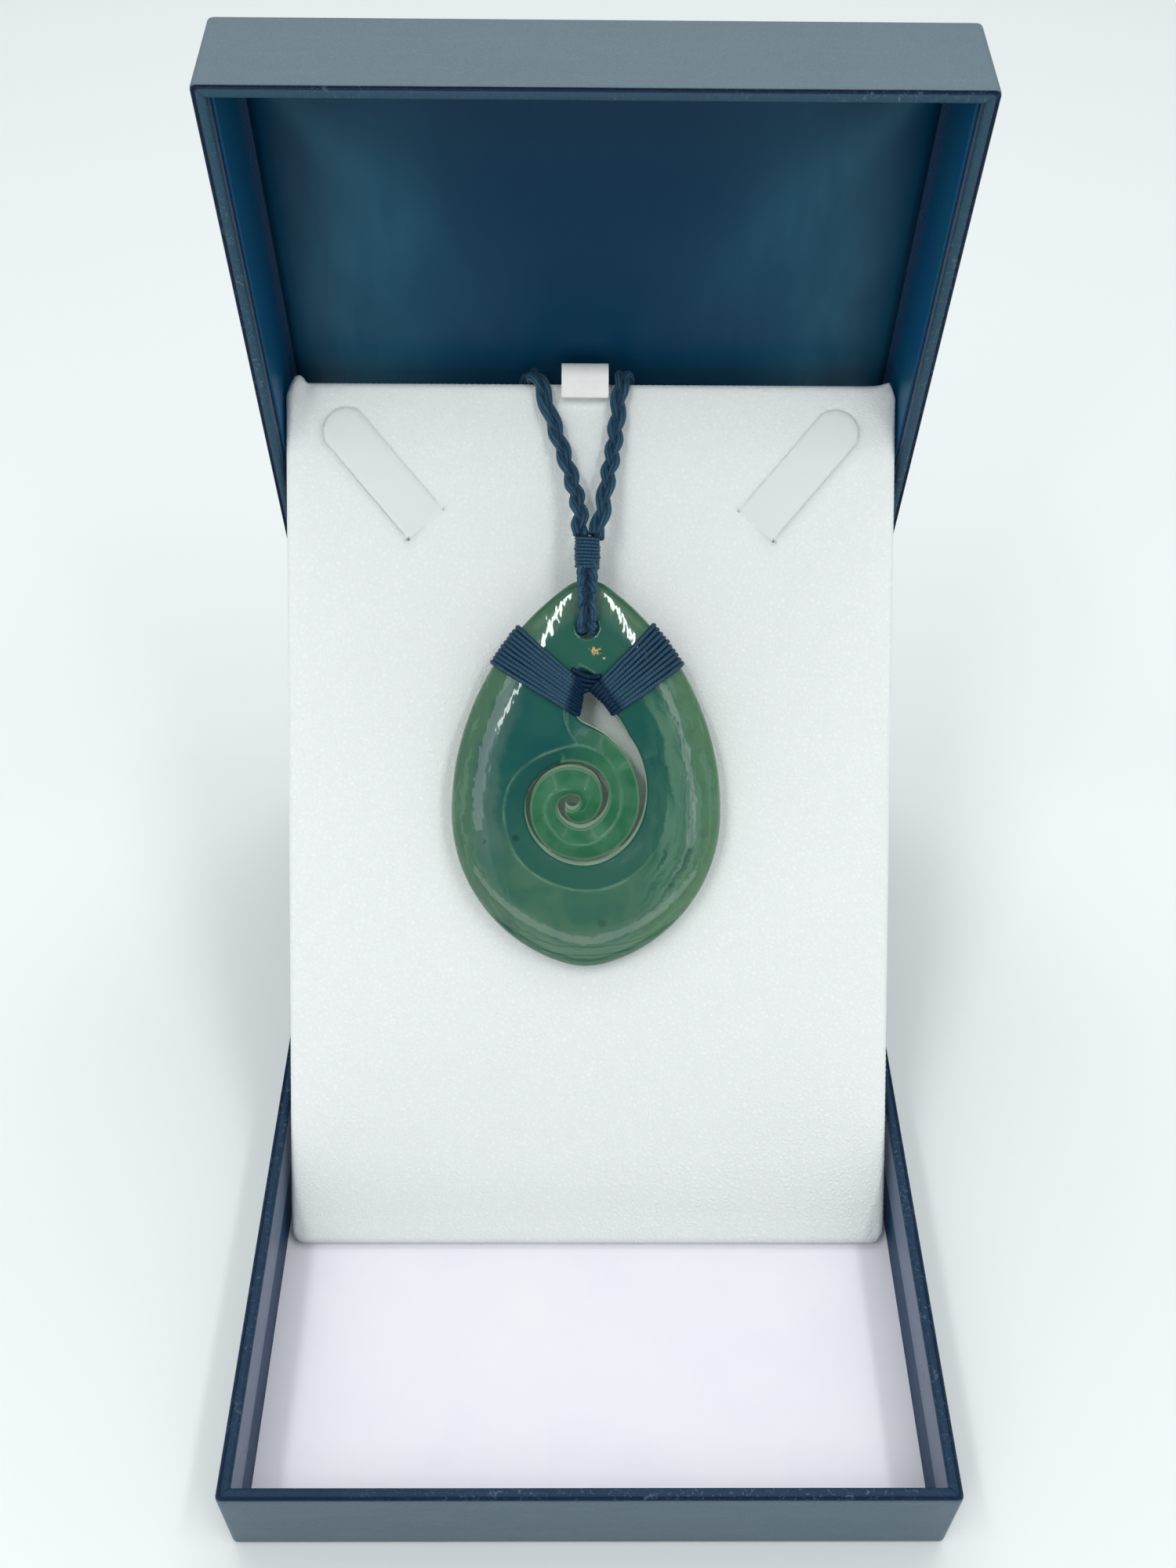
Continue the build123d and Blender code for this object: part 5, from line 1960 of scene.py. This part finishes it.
    def satin_look(self) -> Material:
        """Makes dark satin with a painted soft sheen where its padding turns towards the walls.

        Returns:
            The material.
        """
        material, g, shader = new_material(Finish("dark_satin", 0.32, 0.16, sheen=0.05, sheen_roughness=0.3))
        vector = object_vector(g)
        folds = g.noise(g.mapped(vector, Rotation=(0.0, 0.5, 0.0), Scale=(1.0, 1.0, 0.25)), 150.0, 3.0, 0.55)
        # Painted sheen: lighter where the padding turns towards the walls and along the corner pulls.
        painted_sheen = g.mul(g.attribute("painted_sheen_mask"), g.span(folds, 0.3, 0.7, 0.6, 1.2))
        g.link(g.mix(painted_sheen, srgb(0, 52, 80), srgb(34, 86, 108)), shader.inputs["Base Color"])
        g.link(g.bump(folds, 0.00006), shader.inputs["Normal"])
        return material

    def wall_section(self, height: float, floor: float) -> list:
        """Draws a wrapped wall's section, from the underside over the rim to the floor.

        Args:
            height: The tray's height.
            floor: Its floor's thickness.

        Returns:
            The section's points. Zone 0 is the outside, 1 the rim, 2 the turned-in band and 3 the lining below it.
        """
        board, foot = self.board, self.rim_round
        rows = (
            (3.0, 0.0, 0), (foot, 0.0, 0), (foot * 0.3, foot * 0.3, 0), (0.0, foot, 0),
            (0.0, height * 0.35, 0), (0.0, height * 0.7, 0), (0.0, height - 0.75, 0), (0.03, height - 0.42, 0),
            (0.14, height - 0.2, 0.5), (0.28, height - 0.24, 0.6), (0.42, height - 0.3, 0.6),
            (0.58, height - 0.16, 0.7), (0.72, height - 0.03, 1), (1.2, height, 1), (board - 0.4, height - 0.04, 1),
            (board - 0.12, height - 0.22, 1), (board - 0.02, height - 0.55, 1), (board - 0.04, height - 1.0, 2),
            (board, height * 0.72, 2), (board - 0.02, height * 0.53, 2), (board + 0.04, height * 0.5, 3),
            (board, floor + 0.4, 3), (board + 0.1, floor + 0.04, 3), (board + 0.5, floor, 3),
        )
        return [WallPoint(*row) for row in rows]

    def tray_mesh(self, name: str, height: float, floor: float, place: Matrix) -> Mesh:
        """Builds a tray of wrapped board with a soft, slightly uneven wrap and rounded corners.

        Args:
            name: The mesh's name.
            height: Its outer height.
            floor: Thickness of its floor.
            place: Its frame's place, in millimetres.

        Returns:
            The mesh, with the zone of each point.
        """
        rings, zones = [], []
        for point in self.wall_section(height, floor):
            radius = max(self.corner_round - point.inset * 0.6, 0.3)
            loop = rounded_ring(self.width - 2 * point.inset, self.depth - 2 * point.inset, radius)
            level = np.full(len(loop), point.height)
            if point.zone >= 0.4 and point.zone <= 1:
                wave = np.sin(loop[:, 0] * 0.9 + loop[:, 1] * 0.7) * np.sin(loop[:, 0] * 0.31 - loop[:, 1] * 0.43 + 1)
                level -= 0.03 + 0.03 * wave
                numbers = np.arange(len(loop)) % 23
                level -= 0.1 * (numbers == 3)
            rings.append(np.column_stack([loop, level]))
            zones.append(np.full(len(loop), point.zone))
        count = len(rings[0])
        faces = [tuple(range(count))[::-1]]
        for k in range(len(rings) - 1):
            for i in range(count):
                j = (i + 1) % count
                faces.append((k * count + i, k * count + j, (k + 1) * count + j, (k + 1) * count + i))
        last = (len(rings) - 1) * count
        faces.append(tuple(last + i for i in range(count)))
        mesh = mesh_of(name, to_row(np.vstack(rings), place), faces)
        store(mesh, "zone", np.concatenate(zones))
        mesh.set_sharp_from_angle(angle=SHARP_WRAP_TURN)
        return mesh

    def make_base(self) -> None:
        """Builds the base tray and the card on its floor."""
        row = Matrix.Identity(4)
        tray = self.tray_mesh("base_tray", self.base_height, self.floor_board, row)
        add_piece("base_tray", tray, Slot.WRAP, Body.BASE, "base_shell")
        inset = 2 * (self.board + self.clearance)
        card = panel_bmesh(self.width - inset, self.depth - inset, self.floor_card, 0.3, 0)
        mesh = mesh_from_bmesh("tray_card", card, Matrix.Translation((0, 0, self.floor_board)))
        add_piece("tray_card", mesh, Slot.CARD, Body.BASE, "floor_card")

    def make_lid(self) -> None:
        """Builds the lid, its thin wall lining and its padded satin panel."""
        place = self.lid_frame()
        shell = self.tray_mesh("lid_tray", self.lid_height, self.board, place)
        add_piece("lid_tray", shell, Slot.WRAP, Body.LID, "lid_shell")
        add_piece("lid_lining", self.lining_mesh(place), Slot.LINER, Body.LID, "lid_wall_lining")
        satin = add_piece("satin_panel", self.satin_mesh(place), Slot.SATIN, Body.LID, "lid_satin_panel")

    def lining_mesh(self, place: Matrix) -> Mesh:
        """Builds the frame of thin board along the lid's walls.

        Args:
            place: The lid's frame.

        Returns:
            The mesh.
        """
        inset = 2 * (self.board + self.clearance)
        height = self.lid_height - self.board - self.liner_drop
        bm = bmesh.new()
        bmesh.ops.create_cube(bm, size=1.0)
        bmesh.ops.scale(bm, vec=(self.width - inset, self.depth - inset, height), verts=bm.verts)
        bmesh.ops.translate(bm, vec=(0, 0, self.board + height / 2), verts=bm.verts)
        caps = [f for f in bm.faces if abs(f.normal.z) > 0.9]
        bmesh.ops.inset_individual(bm, faces=caps, thickness=self.liner, use_even_offset=True)
        rings = sorted((list(f.verts) for f in caps), key=lambda ring: ring[0].co.z)
        bmesh.ops.delete(bm, geom=caps, context="FACES_ONLY")
        ordered, above = (sorted(ring, key=lambda v: math.atan2(v.co.y, v.co.x)) for ring in rings)
        for i in range(4):
            j = (i + 1) % 4
            bm.faces.new((ordered[i], ordered[j], above[j], above[i]))
        bmesh.ops.recalc_face_normals(bm, faces=bm.faces)
        brim = self.board + height - 1e-4
        top_edges = [e for e in bm.edges if all(v.co.z > brim for v in e.verts) and e.calc_face_angle(0) > 1]
        bmesh.ops.bevel(bm, geom=top_edges, offset=0.15, segments=2, profile=0.5, affect="EDGES")
        return mesh_from_bmesh("lid_lining", bm, place)

    def settle_satin(self, half_w: float, half_d: float, columns: int, rows: int) -> np.ndarray:
        """Swells a pinned sheet of cloth as its padding does, ten times as large as life.

        Args:
            half_w: Half its width.
            half_d: Half its depth.
            columns: Points across.
            rows: Points up.

        Returns:
            The settled points in millimetres, row by row.
        """
        scale = 0.01
        gx, gy = np.meshgrid(np.linspace(-half_w, half_w, columns), np.linspace(-half_d, half_d, rows))
        flat = np.column_stack([gx.ravel(), gy.ravel(), np.zeros(gx.size)])
        obj = link_new("satin_cloth", mesh_of("satin_cloth", flat * scale, grid_faces(columns, rows)))
        obj.vertex_groups.new(name="pins").add(grid_border(columns, rows), 1.0, "REPLACE")
        cloth = obj.modifiers.new("cloth", "CLOTH")
        for name, value in SATIN_CLOTH.items():
            setattr(cloth.settings, name, value)
        cloth.settings.effector_weights.gravity = 0
        cloth.collision_settings.use_collision = False
        scene = bpy.context.scene
        for number in range(1, 25):
            scene.frame_set(number)
        settled = obj.evaluated_get(bpy.context.evaluated_depsgraph_get())
        points = np.array([tuple(v.co) for v in settled.data.vertices]) / scale
        scene.frame_set(1)
        bpy.data.objects.remove(obj)
        LOG.info("satin: swelled %.2f mm", float(points[:, 2].max()))
        return points

    def satin_mesh(self, place: Matrix) -> Mesh:
        """Builds the taut padded satin: a settled sheet, capped at the padding's thickness.

        Args:
            place: The lid's frame.

        Returns:
            The mesh.
        """
        inset = self.board + self.liner + 2 * self.clearance
        half_w, half_d = (size / 2 - inset - self.satin_gap for size in (self.width, self.depth))
        columns, rows = self.satin_points
        settled = self.settle_satin(half_w, half_d, columns, rows)
        px, py = settled[:, 0], settled[:, 1]
        swell = np.clip(settled[:, 2], 0, None)
        edge_x, edge_y = half_w - np.abs(px), half_d - np.abs(py)
        edge = np.minimum(edge_x, edge_y)
        away = np.hypot(edge_x, edge_y)
        pull = np.exp(-(((edge_x - edge_y * 0.8) / (1.6 + away * 0.2)) ** 2)) * np.exp(-away / 34.0)
        pull = pull * np.clip(away / 4.0, 0, 1)
        height = 0.3 + 0.62 * np.tanh(swell / 2.2) + 0.36 * pull
        height *= np.clip(0.25 + edge / 1.2, 0, 1)
        points = np.column_stack([px, py, self.board + height])
        base = np.column_stack([px, py, np.full(px.size, self.board + 0.02)])
        count = columns * rows
        faces = []
        for a, b, c, d in grid_faces(columns, rows):
            faces += [(a, b, c, d), (count + a, count + d, count + c, count + b)]
        border = grid_border(columns, rows)
        for a, b in zip(border, border[1:] + border[:1]):
            faces.append((a, count + a, count + b, b))
        mesh = mesh_of("satin_panel", to_row(np.vstack([points, base]), place), faces)
        # Where the sheen is painted: a band in from the side walls, and the corner pulls.
        painted_sheen_mask = 0.9 * np.exp(-(((edge_x - 11.0) / 11.0) ** 2)) * np.clip((away - 8.0) / 25.0, 0.1, 1) + 0.7 * pull
        store(mesh, "painted_sheen_mask", np.tile(np.clip(painted_sheen_mask, 0, 1), 2))
        return mesh


# ---- Pad and tab


@dataclass(frozen=True)
class DisplayPad:
    """The leaning display pad with its two cut tongues and its tab."""

    width: float = 94.4
    length: float = 135.3
    thickness: float = 2.5
    tilt: float = 48.0
    foot_from_front: float = 45.4
    foot_gap: float = 0.15
    edge_round: float = 1.0
    corner_round: float = 2.2
    tongue_width: float = 7.0
    tongue_length: float = 19.6
    tongue_cap: float = 2.8
    tongue_lean: float = 40.5
    tongue_spacing: float = 51.2
    tongue_below_top: float = 21.7
    tongue_rise: float = 0.25
    tab_width: float = 7.2
    tab_thickness: float = 0.9
    tab_across: float = -1.0
    tab_rise: float = 3.2
    tab_lap: float = 2.4
    tab_stand_off: float = 0.9

    def frame(self) -> Matrix:
        """Places the pad frame in the row frame.

        Returns:
            The matrix, in millimetres.
        """
        tilt = math.radians(self.tilt)
        up = Vector((0, math.cos(tilt), math.sin(tilt)))
        out = Vector((0, -math.sin(tilt), math.cos(tilt)))
        foot = self.thickness / 2
        floor = BOX.floor_board + BOX.floor_card
        centre = Vector((0, self.foot_from_front - BOX.depth / 2, floor + self.foot_gap + foot))
        origin = centre - up * foot + out * foot
        return frame_of((Vector((1, 0, 0)), up, out), origin)

    def look(self, leather: NodeTree) -> Material:
        """Makes the white leatherette of the pad, with finer grain on its tongues, a painted shadow along the tongues'
        cuts and painted shade at the cuts' ends.

        Args:
            leather: The pebbled grain.

        Returns:
            The material.
        """
        material, g, shader = new_material(Finish("white_leatherette", roughness=0.5, specular=0.4))
        vector = object_vector(g)
        grain = g.group(leather, vector, Size=1250.0, Softness=0.5)
        woven = g.group(leather, vector, Size=2300.0, Softness=0.5)
        patches = g.span(g.noise(vector, 30.0, 3.0, 0.6), 0.35, 0.65)
        height = g.add(g.mul(grain["Height"], patches), g.mul(woven["Height"], 0.7))
        smooth = g.attribute("smooth")
        # Painted shade in the grain's hollows.
        base = g.mix(g.mul(grain["CreaseShade"], 0.22), srgb(243, 247, 244), srgb(216, 223, 223))
        base = g.mix(smooth, base, srgb(229, 234, 231))
        # Painted shadow along the tongues' cuts, and painted shade at their ends.
        base = g.mix(g.mul(g.attribute("tongue_cut_shadow"), 0.4), base, srgb(120, 128, 132))
        base = g.mix(g.attribute("cut_end_shade"), base, srgb(30, 32, 36))
        g.link(base, shader.inputs["Base Color"])
        soft = g.bump(g.noise(vector, 70.0, 2.0), 0.0002)
        height = g.mul(height, g.sub(1.0, g.mul(smooth, 0.85)))
        g.link(g.bump(height, 0.00008, Normal=soft), shader.inputs["Normal"])
        return material

    def in_tongue(self, points: np.ndarray, side: Side) -> tuple:
        """Returns the points' places across and along a tongue, from the middle of its foot.

        Args:
            points: Rows of x, y in the pad frame.
            side: Which tongue.

        Returns:
            The places across and the places along.
        """
        lean = math.radians(-side.value * self.tongue_lean)
        moved = points - self.tongue_foot(side)
        x = moved[:, 0] * math.cos(lean) + moved[:, 1] * math.sin(lean)
        return x, -moved[:, 0] * math.sin(lean) + moved[:, 1] * math.cos(lean)

    def tongue_foot(self, side: Side) -> tuple:
        """Returns the middle of a tongue's foot in the pad frame."""
        return side.value * self.tongue_spacing / 2, self.length - self.tongue_below_top

    def tongue_cap_arc(self) -> tuple:
        """Returns the radius of a tongue's round end and its centre's place along the tongue.

        Returns:
            The radius and the place.
        """
        half, cap = self.tongue_width / 2, self.tongue_cap
        radius = (half**2 + cap**2) / (2 * cap)
        return radius, self.tongue_length + cap - radius

    def tongue_distance(self, points: np.ndarray, side: Side) -> np.ndarray:
        """Signed distance from a tongue's outline, negative inside.

        Args:
            points: Rows of x, y in the pad frame.
            side: Which tongue.

        Returns:
            One distance per point.
        """
        x, y = self.in_tongue(points, side)
        half = self.tongue_width / 2
        radius, centre = self.tongue_cap_arc()
        sides = np.maximum(np.abs(x) - half, -y)
        end = np.hypot(x, y - centre) - radius
        return np.where(y > centre, np.maximum(end, np.abs(x) - half), sides)

    def tongue_loop(self, side: Side, grow: float) -> np.ndarray:
        """Draws a tongue's outline, grown all round.

        Args:
            side: Which tongue.
            grow: How far it is grown.

        Returns:
            Rows of x, y in the pad frame.
        """
        half = self.tongue_width / 2
        radius, centre = self.tongue_cap_arc()
        first = math.asin(min(1.0, (self.tongue_length - centre) / radius))
        turns = np.linspace(first, math.pi - first, 24)
        arc = np.column_stack([(radius + grow) * np.cos(turns), centre + (radius + grow) * np.sin(turns)])
        arc[:, 0] = np.clip(arc[:, 0], -half - grow, half + grow)
        foot = np.array([[-half - grow, -grow], [half + grow, -grow]])
        loop = np.vstack([foot, arc])
        lean = math.radians(-side.value * self.tongue_lean)
        turn = np.array([[math.cos(lean), -math.sin(lean)], [math.sin(lean), math.cos(lean)]])
        return resample(loop, 0.4) @ turn.T + self.tongue_foot(side)

    def tongue_fade(self, points: np.ndarray, side: Side) -> np.ndarray:
        """Fades a tongue's relief where it still joins the pad, at its foot."""
        return np.clip((self.in_tongue(points, side)[1] + 0.3) / 2.5, 0.25, 1)

    def corner_fold(self, points: np.ndarray) -> np.ndarray:
        """Height of the leather's folds below the pad's two upper corners.

        Args:
            points: Rows of x, y in the pad frame.

        Returns:
            One height per point.
        """
        half, top = self.width / 2, self.length
        folds = np.zeros(len(points))
        for start, end, depth, width in (
            ((-half + 3.4, top - 0.2), (-half + 1.6, top - 8.5), -0.5, 0.8),
            ((-half + 1.4, top - 0.5), (-half + 0.9, top - 7.0), 0.35, 0.8),
            ((half - 0.8, top - 0.6), (half - 4.2, top - 8.0), -0.4, 0.7),
            ((half - 0.5, top - 2.0), (half - 1.6, top - 9.0), -0.3, 0.6),
            ((half - 0.9, top - 1.5), (half - 2.6, top - 8.0), 0.22, 0.7),
        ):
            a, b = np.array(start), np.array(end)
            run = b - a
            t = np.clip(((points - a) @ run) / (run @ run), 0, 1)
            away = np.linalg.norm(points - a - t[:, None] * run, axis=1)
            folds += depth * np.exp(-((away / width) ** 2)) * (1 - t) ** 0.7
        return folds

    def height(self, points: np.ndarray, loop: np.ndarray) -> np.ndarray:
        """Height of the pad's front face, with its soft edge, its folds and its tongues.

        Args:
            points: Rows of x, y in the pad frame.
            loop: The pad's outline.

        Returns:
            One height per point.
        """
        edge, _ = nearest(points, resample(loop, 0.1))
        height = -round_over(edge, self.edge_round)
        height += 0.05 * np.exp(-((edge - 2.2) ** 2) / 1.4) + self.corner_fold(points) * np.clip(edge / 0.6, 0, 1)
        for side in Side:
            s = self.tongue_distance(points, side)
            rise = self.tongue_rise
            cut = [rise * 0.9, rise, rise - 0.1, -0.2, -0.2, -0.05, 0]
            height += np.interp(s, [-1.2, -0.35, 0.0, 0.07, 0.2, 0.28, 0.9], cut) * self.tongue_fade(points, side)
        return height

    def outline(self) -> np.ndarray:
        """Draws the pad's outline with the leather's small bumps at its upper corners.

        Returns:
            Rows of x, y in the pad frame.
        """
        loop = rounded_rectangle(self.width, self.length, self.corner_round, 0.45)
        half = self.width / 2
        upper = loop[:, 1] > self.length - self.corner_round
        rounded = np.exp(-(((loop[:, 0] + half - 1.75) / 1.15) ** 4)) * 1.25
        pointed = np.exp(-np.abs(loop[:, 0] - half + 0.9) / 0.8) * 1.3
        share = np.clip((loop[:, 1] - self.length + self.corner_round) / self.corner_round, 0, 1)
        loop[:, 1] += (rounded + pointed) * upper * share
        return loop

    def make_board(self) -> Object:
        """Builds the display pad with its two cut tongues.

        Returns:
            The pad.
        """
        loop = self.outline()
        normals = inward(loop, True)
        rows = [loop + normals * offset for offset in (0.03, 0.12, 0.3, 0.55, 0.9, 1.3, 2.0)]
        rows += [self.tongue_loop(side, grow) for side in Side for grow in (-1.2, -0.35, 0.0, 0.07, 0.2, 0.28, 0.9)]
        chosen = thin(np.vstack(rows), 0.05)
        xs = np.arange(-self.width / 2 + 2.8, self.width / 2 - 2.7, 1.4)
        ys = np.arange(2.8, self.length - 2.7, 1.4)
        field = np.array([(x, y) for x in xs for y in ys])
        away, _ = nearest(field, chosen)
        flat, tris, loops = fill_region([loop], np.vstack([chosen, field[away > 0.6]]))
        front = self.height(flat, loop)
        edge, _ = nearest(flat, resample(loop, 0.1))
        back = -self.thickness + round_over(edge, self.edge_round)
        count = len(flat)
        points = np.vstack([np.column_stack([flat, front]), np.column_stack([flat, back])])
        faces = [tuple(t) for t in tris] + [tuple((t + count)[::-1]) for t in tris]
        numbers = loops[0]
        for a, b in zip(numbers, numbers[1:] + numbers[:1]):
            faces.append((a, a + count, b + count, b))
        mesh = mesh_of("leaning_pad", to_row(points, self.frame()), faces)
        smooth, tongue_cut_shadow, cut_end_shade = (np.zeros(2 * count) for _ in range(3))
        for side in Side:
            s = self.tongue_distance(flat, side)
            smooth[:count] = np.maximum(smooth[:count], np.clip(-s / 0.3, 0, 1))
            # Painted shadow along each tongue's cut, darker on its lower side, with a soft painted shadow beside it
            # outside; painted shade at the two ends of the cut's foot.
            lower = np.clip(self.in_tongue(flat, side)[0] * side.value / 3.0 + 0.2, 0.0, 1)
            line = np.exp(-(((s - 0.12) / 0.1) ** 2)) * (0.25 + 0.75 * lower)
            soft = 0.5 * np.exp(-(((s - 0.35) / 0.5) ** 2)) * (s > 0) * (0.15 + 0.85 * lower)
            tongue_cut_shadow[:count] = np.maximum(tongue_cut_shadow[:count], np.maximum(line, soft))
            for end in (-1, 1):
                lean = math.radians(-side.value * self.tongue_lean)
                x = end * (self.tongue_width / 2 + 0.1)
                spot = np.array([x * math.cos(lean), x * math.sin(lean)])
                spot = spot + self.tongue_foot(side)
                strength = 1.0 if end == side.value else 0.45
                away = np.linalg.norm(flat - spot, axis=1)
                cut_end_shade[:count] = np.maximum(cut_end_shade[:count], strength * np.clip(1.3 - away / 0.25, 0, 1))
        for key, values in (("smooth", smooth), ("tongue_cut_shadow", tongue_cut_shadow), ("cut_end_shade", cut_end_shade)):
            store(mesh, key, values)
        drop_loose(mesh)
        return add_piece("leaning_pad", mesh, Slot.PAD, Body.BASE, "display_pad")

    def make_tab(self) -> Object:
        """Builds the white strip that curls over the pad's top edge.

        Returns:
            The tab.
        """
        width, thick = self.tab_width, self.tab_thickness
        front, back = self.tab_stand_off + thick, -self.thickness - BOX.clearance - thick
        bend, middle = (front - back) / 2, (front + back) / 2
        top, low = self.length + self.tab_rise, self.length - self.tab_lap
        outer, inner = (
            [(middle + r, low)]
            + [(middle + r * math.cos(a), top - bend + r * math.sin(a)) for a in np.linspace(0, math.pi, 24)]
            + [(middle - r, low)]
            for r in (bend, bend - thick)
        )
        bm = bmesh.new()
        lower = [bm.verts.new((self.tab_across - width / 2, y, z)) for z, y in outer + inner[::-1]]
        face = bm.faces.new(lower)
        lifted = bmesh.ops.extrude_face_region(bm, geom=[face])["geom"]
        bmesh.ops.translate(bm, vec=(width, 0, 0), verts=[v for v in lifted if isinstance(v, bmesh.types.BMVert)])
        mesh = mesh_from_bmesh("curled_tab", bm, self.frame())
        return add_piece("curled_tab", mesh, Slot.RIBBON, Body.BASE, "hanging_tab")


# ---- The made things and their finishes


BOX = GiftBox()
PAD = DisplayPad()
STONE = CarvedStone()
CORD = CordWork()


def make_looks() -> dict[Slot, Material]:
    """Makes every finish once.

    Returns:
        The materials by slot.
    """
    leather, fibres = leather_group(), fibre_group()
    waxed = Finish("plaited_waxed_cord", roughness=0.55, specular=0.28, sheen=0.08)
    thread = Finish("fine_waxed_thread", roughness=0.5, specular=0.25)
    brass = Finish("dark_brass", roughness=0.35, metallic=1.0)
    liner = Finish("dark_liner", roughness=0.4, specular=0.25)
    ribbon, card = Finish("white_ribbon", roughness=0.6), Finish("white_card", roughness=0.6)
    return {
        Slot.STONE: STONE.look(),
        Slot.CORD: CORD.fibre_look(waxed, fibres, (srgb(42, 86, 110), srgb(0, 40, 64)), 5.0, 7.0, 0.00022),
        Slot.THREAD: CORD.fibre_look(thread, fibres, (srgb(42, 78, 100), srgb(14, 50, 74)), 0.5, 2.0, 0.00005),
        Slot.CLASP: plain_look(brass, srgb(120, 104, 70), srgb(100, 84, 54), 300, 0),
        Slot.WRAP: BOX.wrap_look(leather),
        Slot.PAD: PAD.look(leather),
        Slot.RIBBON: plain_look(ribbon, srgb(252, 253, 249), srgb(246, 248, 244), 500, 0.00003),
        Slot.CARD: plain_look(card, srgb(236, 234, 239), srgb(232, 231, 238), 60, 0.00002),
        Slot.LINER: plain_look(liner, srgb(10, 74, 118), srgb(14, 80, 110), 80, 0),
        Slot.SATIN: BOX.satin_look(),
    }


# ---- Camera, light and table


@dataclass(frozen=True)
class CameraPose:
    """The photograph's camera in the row frame."""

    place: tuple = (-2.47, -144.28, 225.25)
    pitch: float = 45.075
    yaw: float = 0.745
    roll: float = 0.721
    lens: float = 34.685
    sensor: float = 36.0

    def make(self) -> None:
        """Makes the camera where the photograph was taken."""
        pitch, yaw, roll = (math.radians(v) for v in (self.pitch, self.yaw, self.roll))
        ahead = Vector((math.sin(yaw) * math.cos(pitch), math.cos(yaw) * math.cos(pitch), -math.sin(pitch)))
        right = ahead.cross(Vector((0, 0, 1))).normalized()
        up = right.cross(ahead)
        turned_right = right * math.cos(roll) + up * math.sin(roll)
        turned_up = up * math.cos(roll) - right * math.sin(roll)
        data = bpy.data.cameras.new("camera")
        data.sensor_fit = "AUTO"
        data.sensor_width = self.sensor
        data.lens = self.lens
        data.clip_start, data.clip_end = 0.01, 20.0
        camera = link_new("camera", data)
        camera.matrix_world = frame_of((turned_right, turned_up, -ahead), Vector(self.place) * MM)
        bpy.context.scene.camera = camera


@dataclass(frozen=True)
class Lamp:
    """One soft rectangular light: its place, its sides, its radiance and the direction of its second side."""

    name: str
    place: tuple
    size: tuple
    radiance: float
    along: tuple = (0.0, 1.0, 0.0)

    def make(self) -> None:
        """Makes the light, facing the middle of the box."""
        data = bpy.data.lights.new(self.name, "AREA")
        data.shape = "RECTANGLE"
        data.size, data.size_y = self.size
        data.energy = self.radiance * math.pi * self.size[0] * self.size[1]
        place = Vector(self.place)
        out = (place - Vector((0, 0.02, 0.06))).normalized()
        across = Vector(self.along).cross(out).normalized()
        link_new(self.name, data).matrix_world = frame_of((across, out.cross(across), out), place)


LAMPS = (
    Lamp("ceiling", (0.0, 0.6, 1.25), (1.4, 0.7), 2.3),
    Lamp("strip_left", (-0.34, -0.31, 0.91), (0.06, 0.5), 19.0, (-0.16, 1.0, 0.0)),
    Lamp("strip_right", (0.385, -0.27, 0.91), (0.06, 0.5), 19.0, (0.1, 1.0, 0.0)),
    Lamp("wall_left", (-0.60, -0.81, 0.85), (0.28, 0.8), 1.6, (0.0, 0.5, 0.85)),
    Lamp("wall_right", (0.58, -0.90, 0.80), (0.16, 0.8), 1.8, (0.0, 0.5, 0.85)),
    Lamp("pane_left", (-0.28, -0.573, 0.674), (0.05, 0.16), 12.0, (0.6, 0.5, 0.65)),
    Lamp("front", (0.0, -1.5, 0.16), (2.6, 0.18), 1.35, (0.0, 0.2, 1.0)),
)


@dataclass(frozen=True)
class Stage:
    """The pale table, the even world and the soft lights round the box."""

    half_side: float = 3.0
    drop: float = 0.0002
    world_strength: float = 0.548
    lamps: tuple = LAMPS

    def shade_world(self) -> None:
        """Lights the world evenly, but dim in front, because the polished stone mirrors it."""
        world = bpy.data.worlds.new("studio")
        world.use_nodes = True
        background = world.node_tree.nodes["Background"]
        g = Graph(world.node_tree)
        look = g.parts(g.node("ShaderNodeTexCoord").outputs["Generated"])
        side = g.span(g.magnitude(look["X"]), 0.27, 0.34, 1.0, 0.0)
        dim = g.mul(g.mul(side, g.span(look["Y"], -0.5, -0.6)), g.span(look["Z"], 0.14, 0.22))
        g.link(g.mix(dim, (0.93, 0.97, 1.0, 1), (0.08, 0.1, 0.12, 1)), background.inputs["Color"])
        background.inputs["Strength"].default_value = self.world_strength
        bpy.context.scene.world = world
        bpy.context.scene.view_settings.view_transform = "Standard"

    def make(self) -> None:
        """Makes the table, the world and the lights."""
        bm = bmesh.new()
        bmesh.ops.create_grid(bm, x_segments=1, y_segments=1, size=self.half_side)
        mesh = bpy.data.meshes.new("table")
        bm.to_mesh(mesh)
        bm.free()
        table = link_new("table", mesh)
        table.location = (0, 0, -self.drop)
        material, _, shader = new_material(Finish("pale_table", roughness=0.7))
        shader.inputs["Base Color"].default_value = srgb(232, 237, 237)
        mesh.materials.append(material)
        self.shade_world()
        for lamp in self.lamps:
            lamp.make()


def main() -> None:
    """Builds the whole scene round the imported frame."""
    logging.basicConfig(level=logging.INFO)
    for obj in list(bpy.data.objects):
        bpy.data.objects.remove(obj)
    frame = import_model()
    CameraPose().make()
    LOOKS.update(make_looks())
    strands = CORD.make()
    STONE.make()
    for side in Side:
        CORD.make_lashing(side)
    BOX.make_base()
    BOX.make_lid()
    PAD.make_board()
    PAD.make_tab()
    dress(frame["nodes"]["hinge_cover"], Slot.WRAP)
    LOG.info("hinge_cover: dressed as it is")
    Stage().make()


if __name__ == "__main__":
    main()
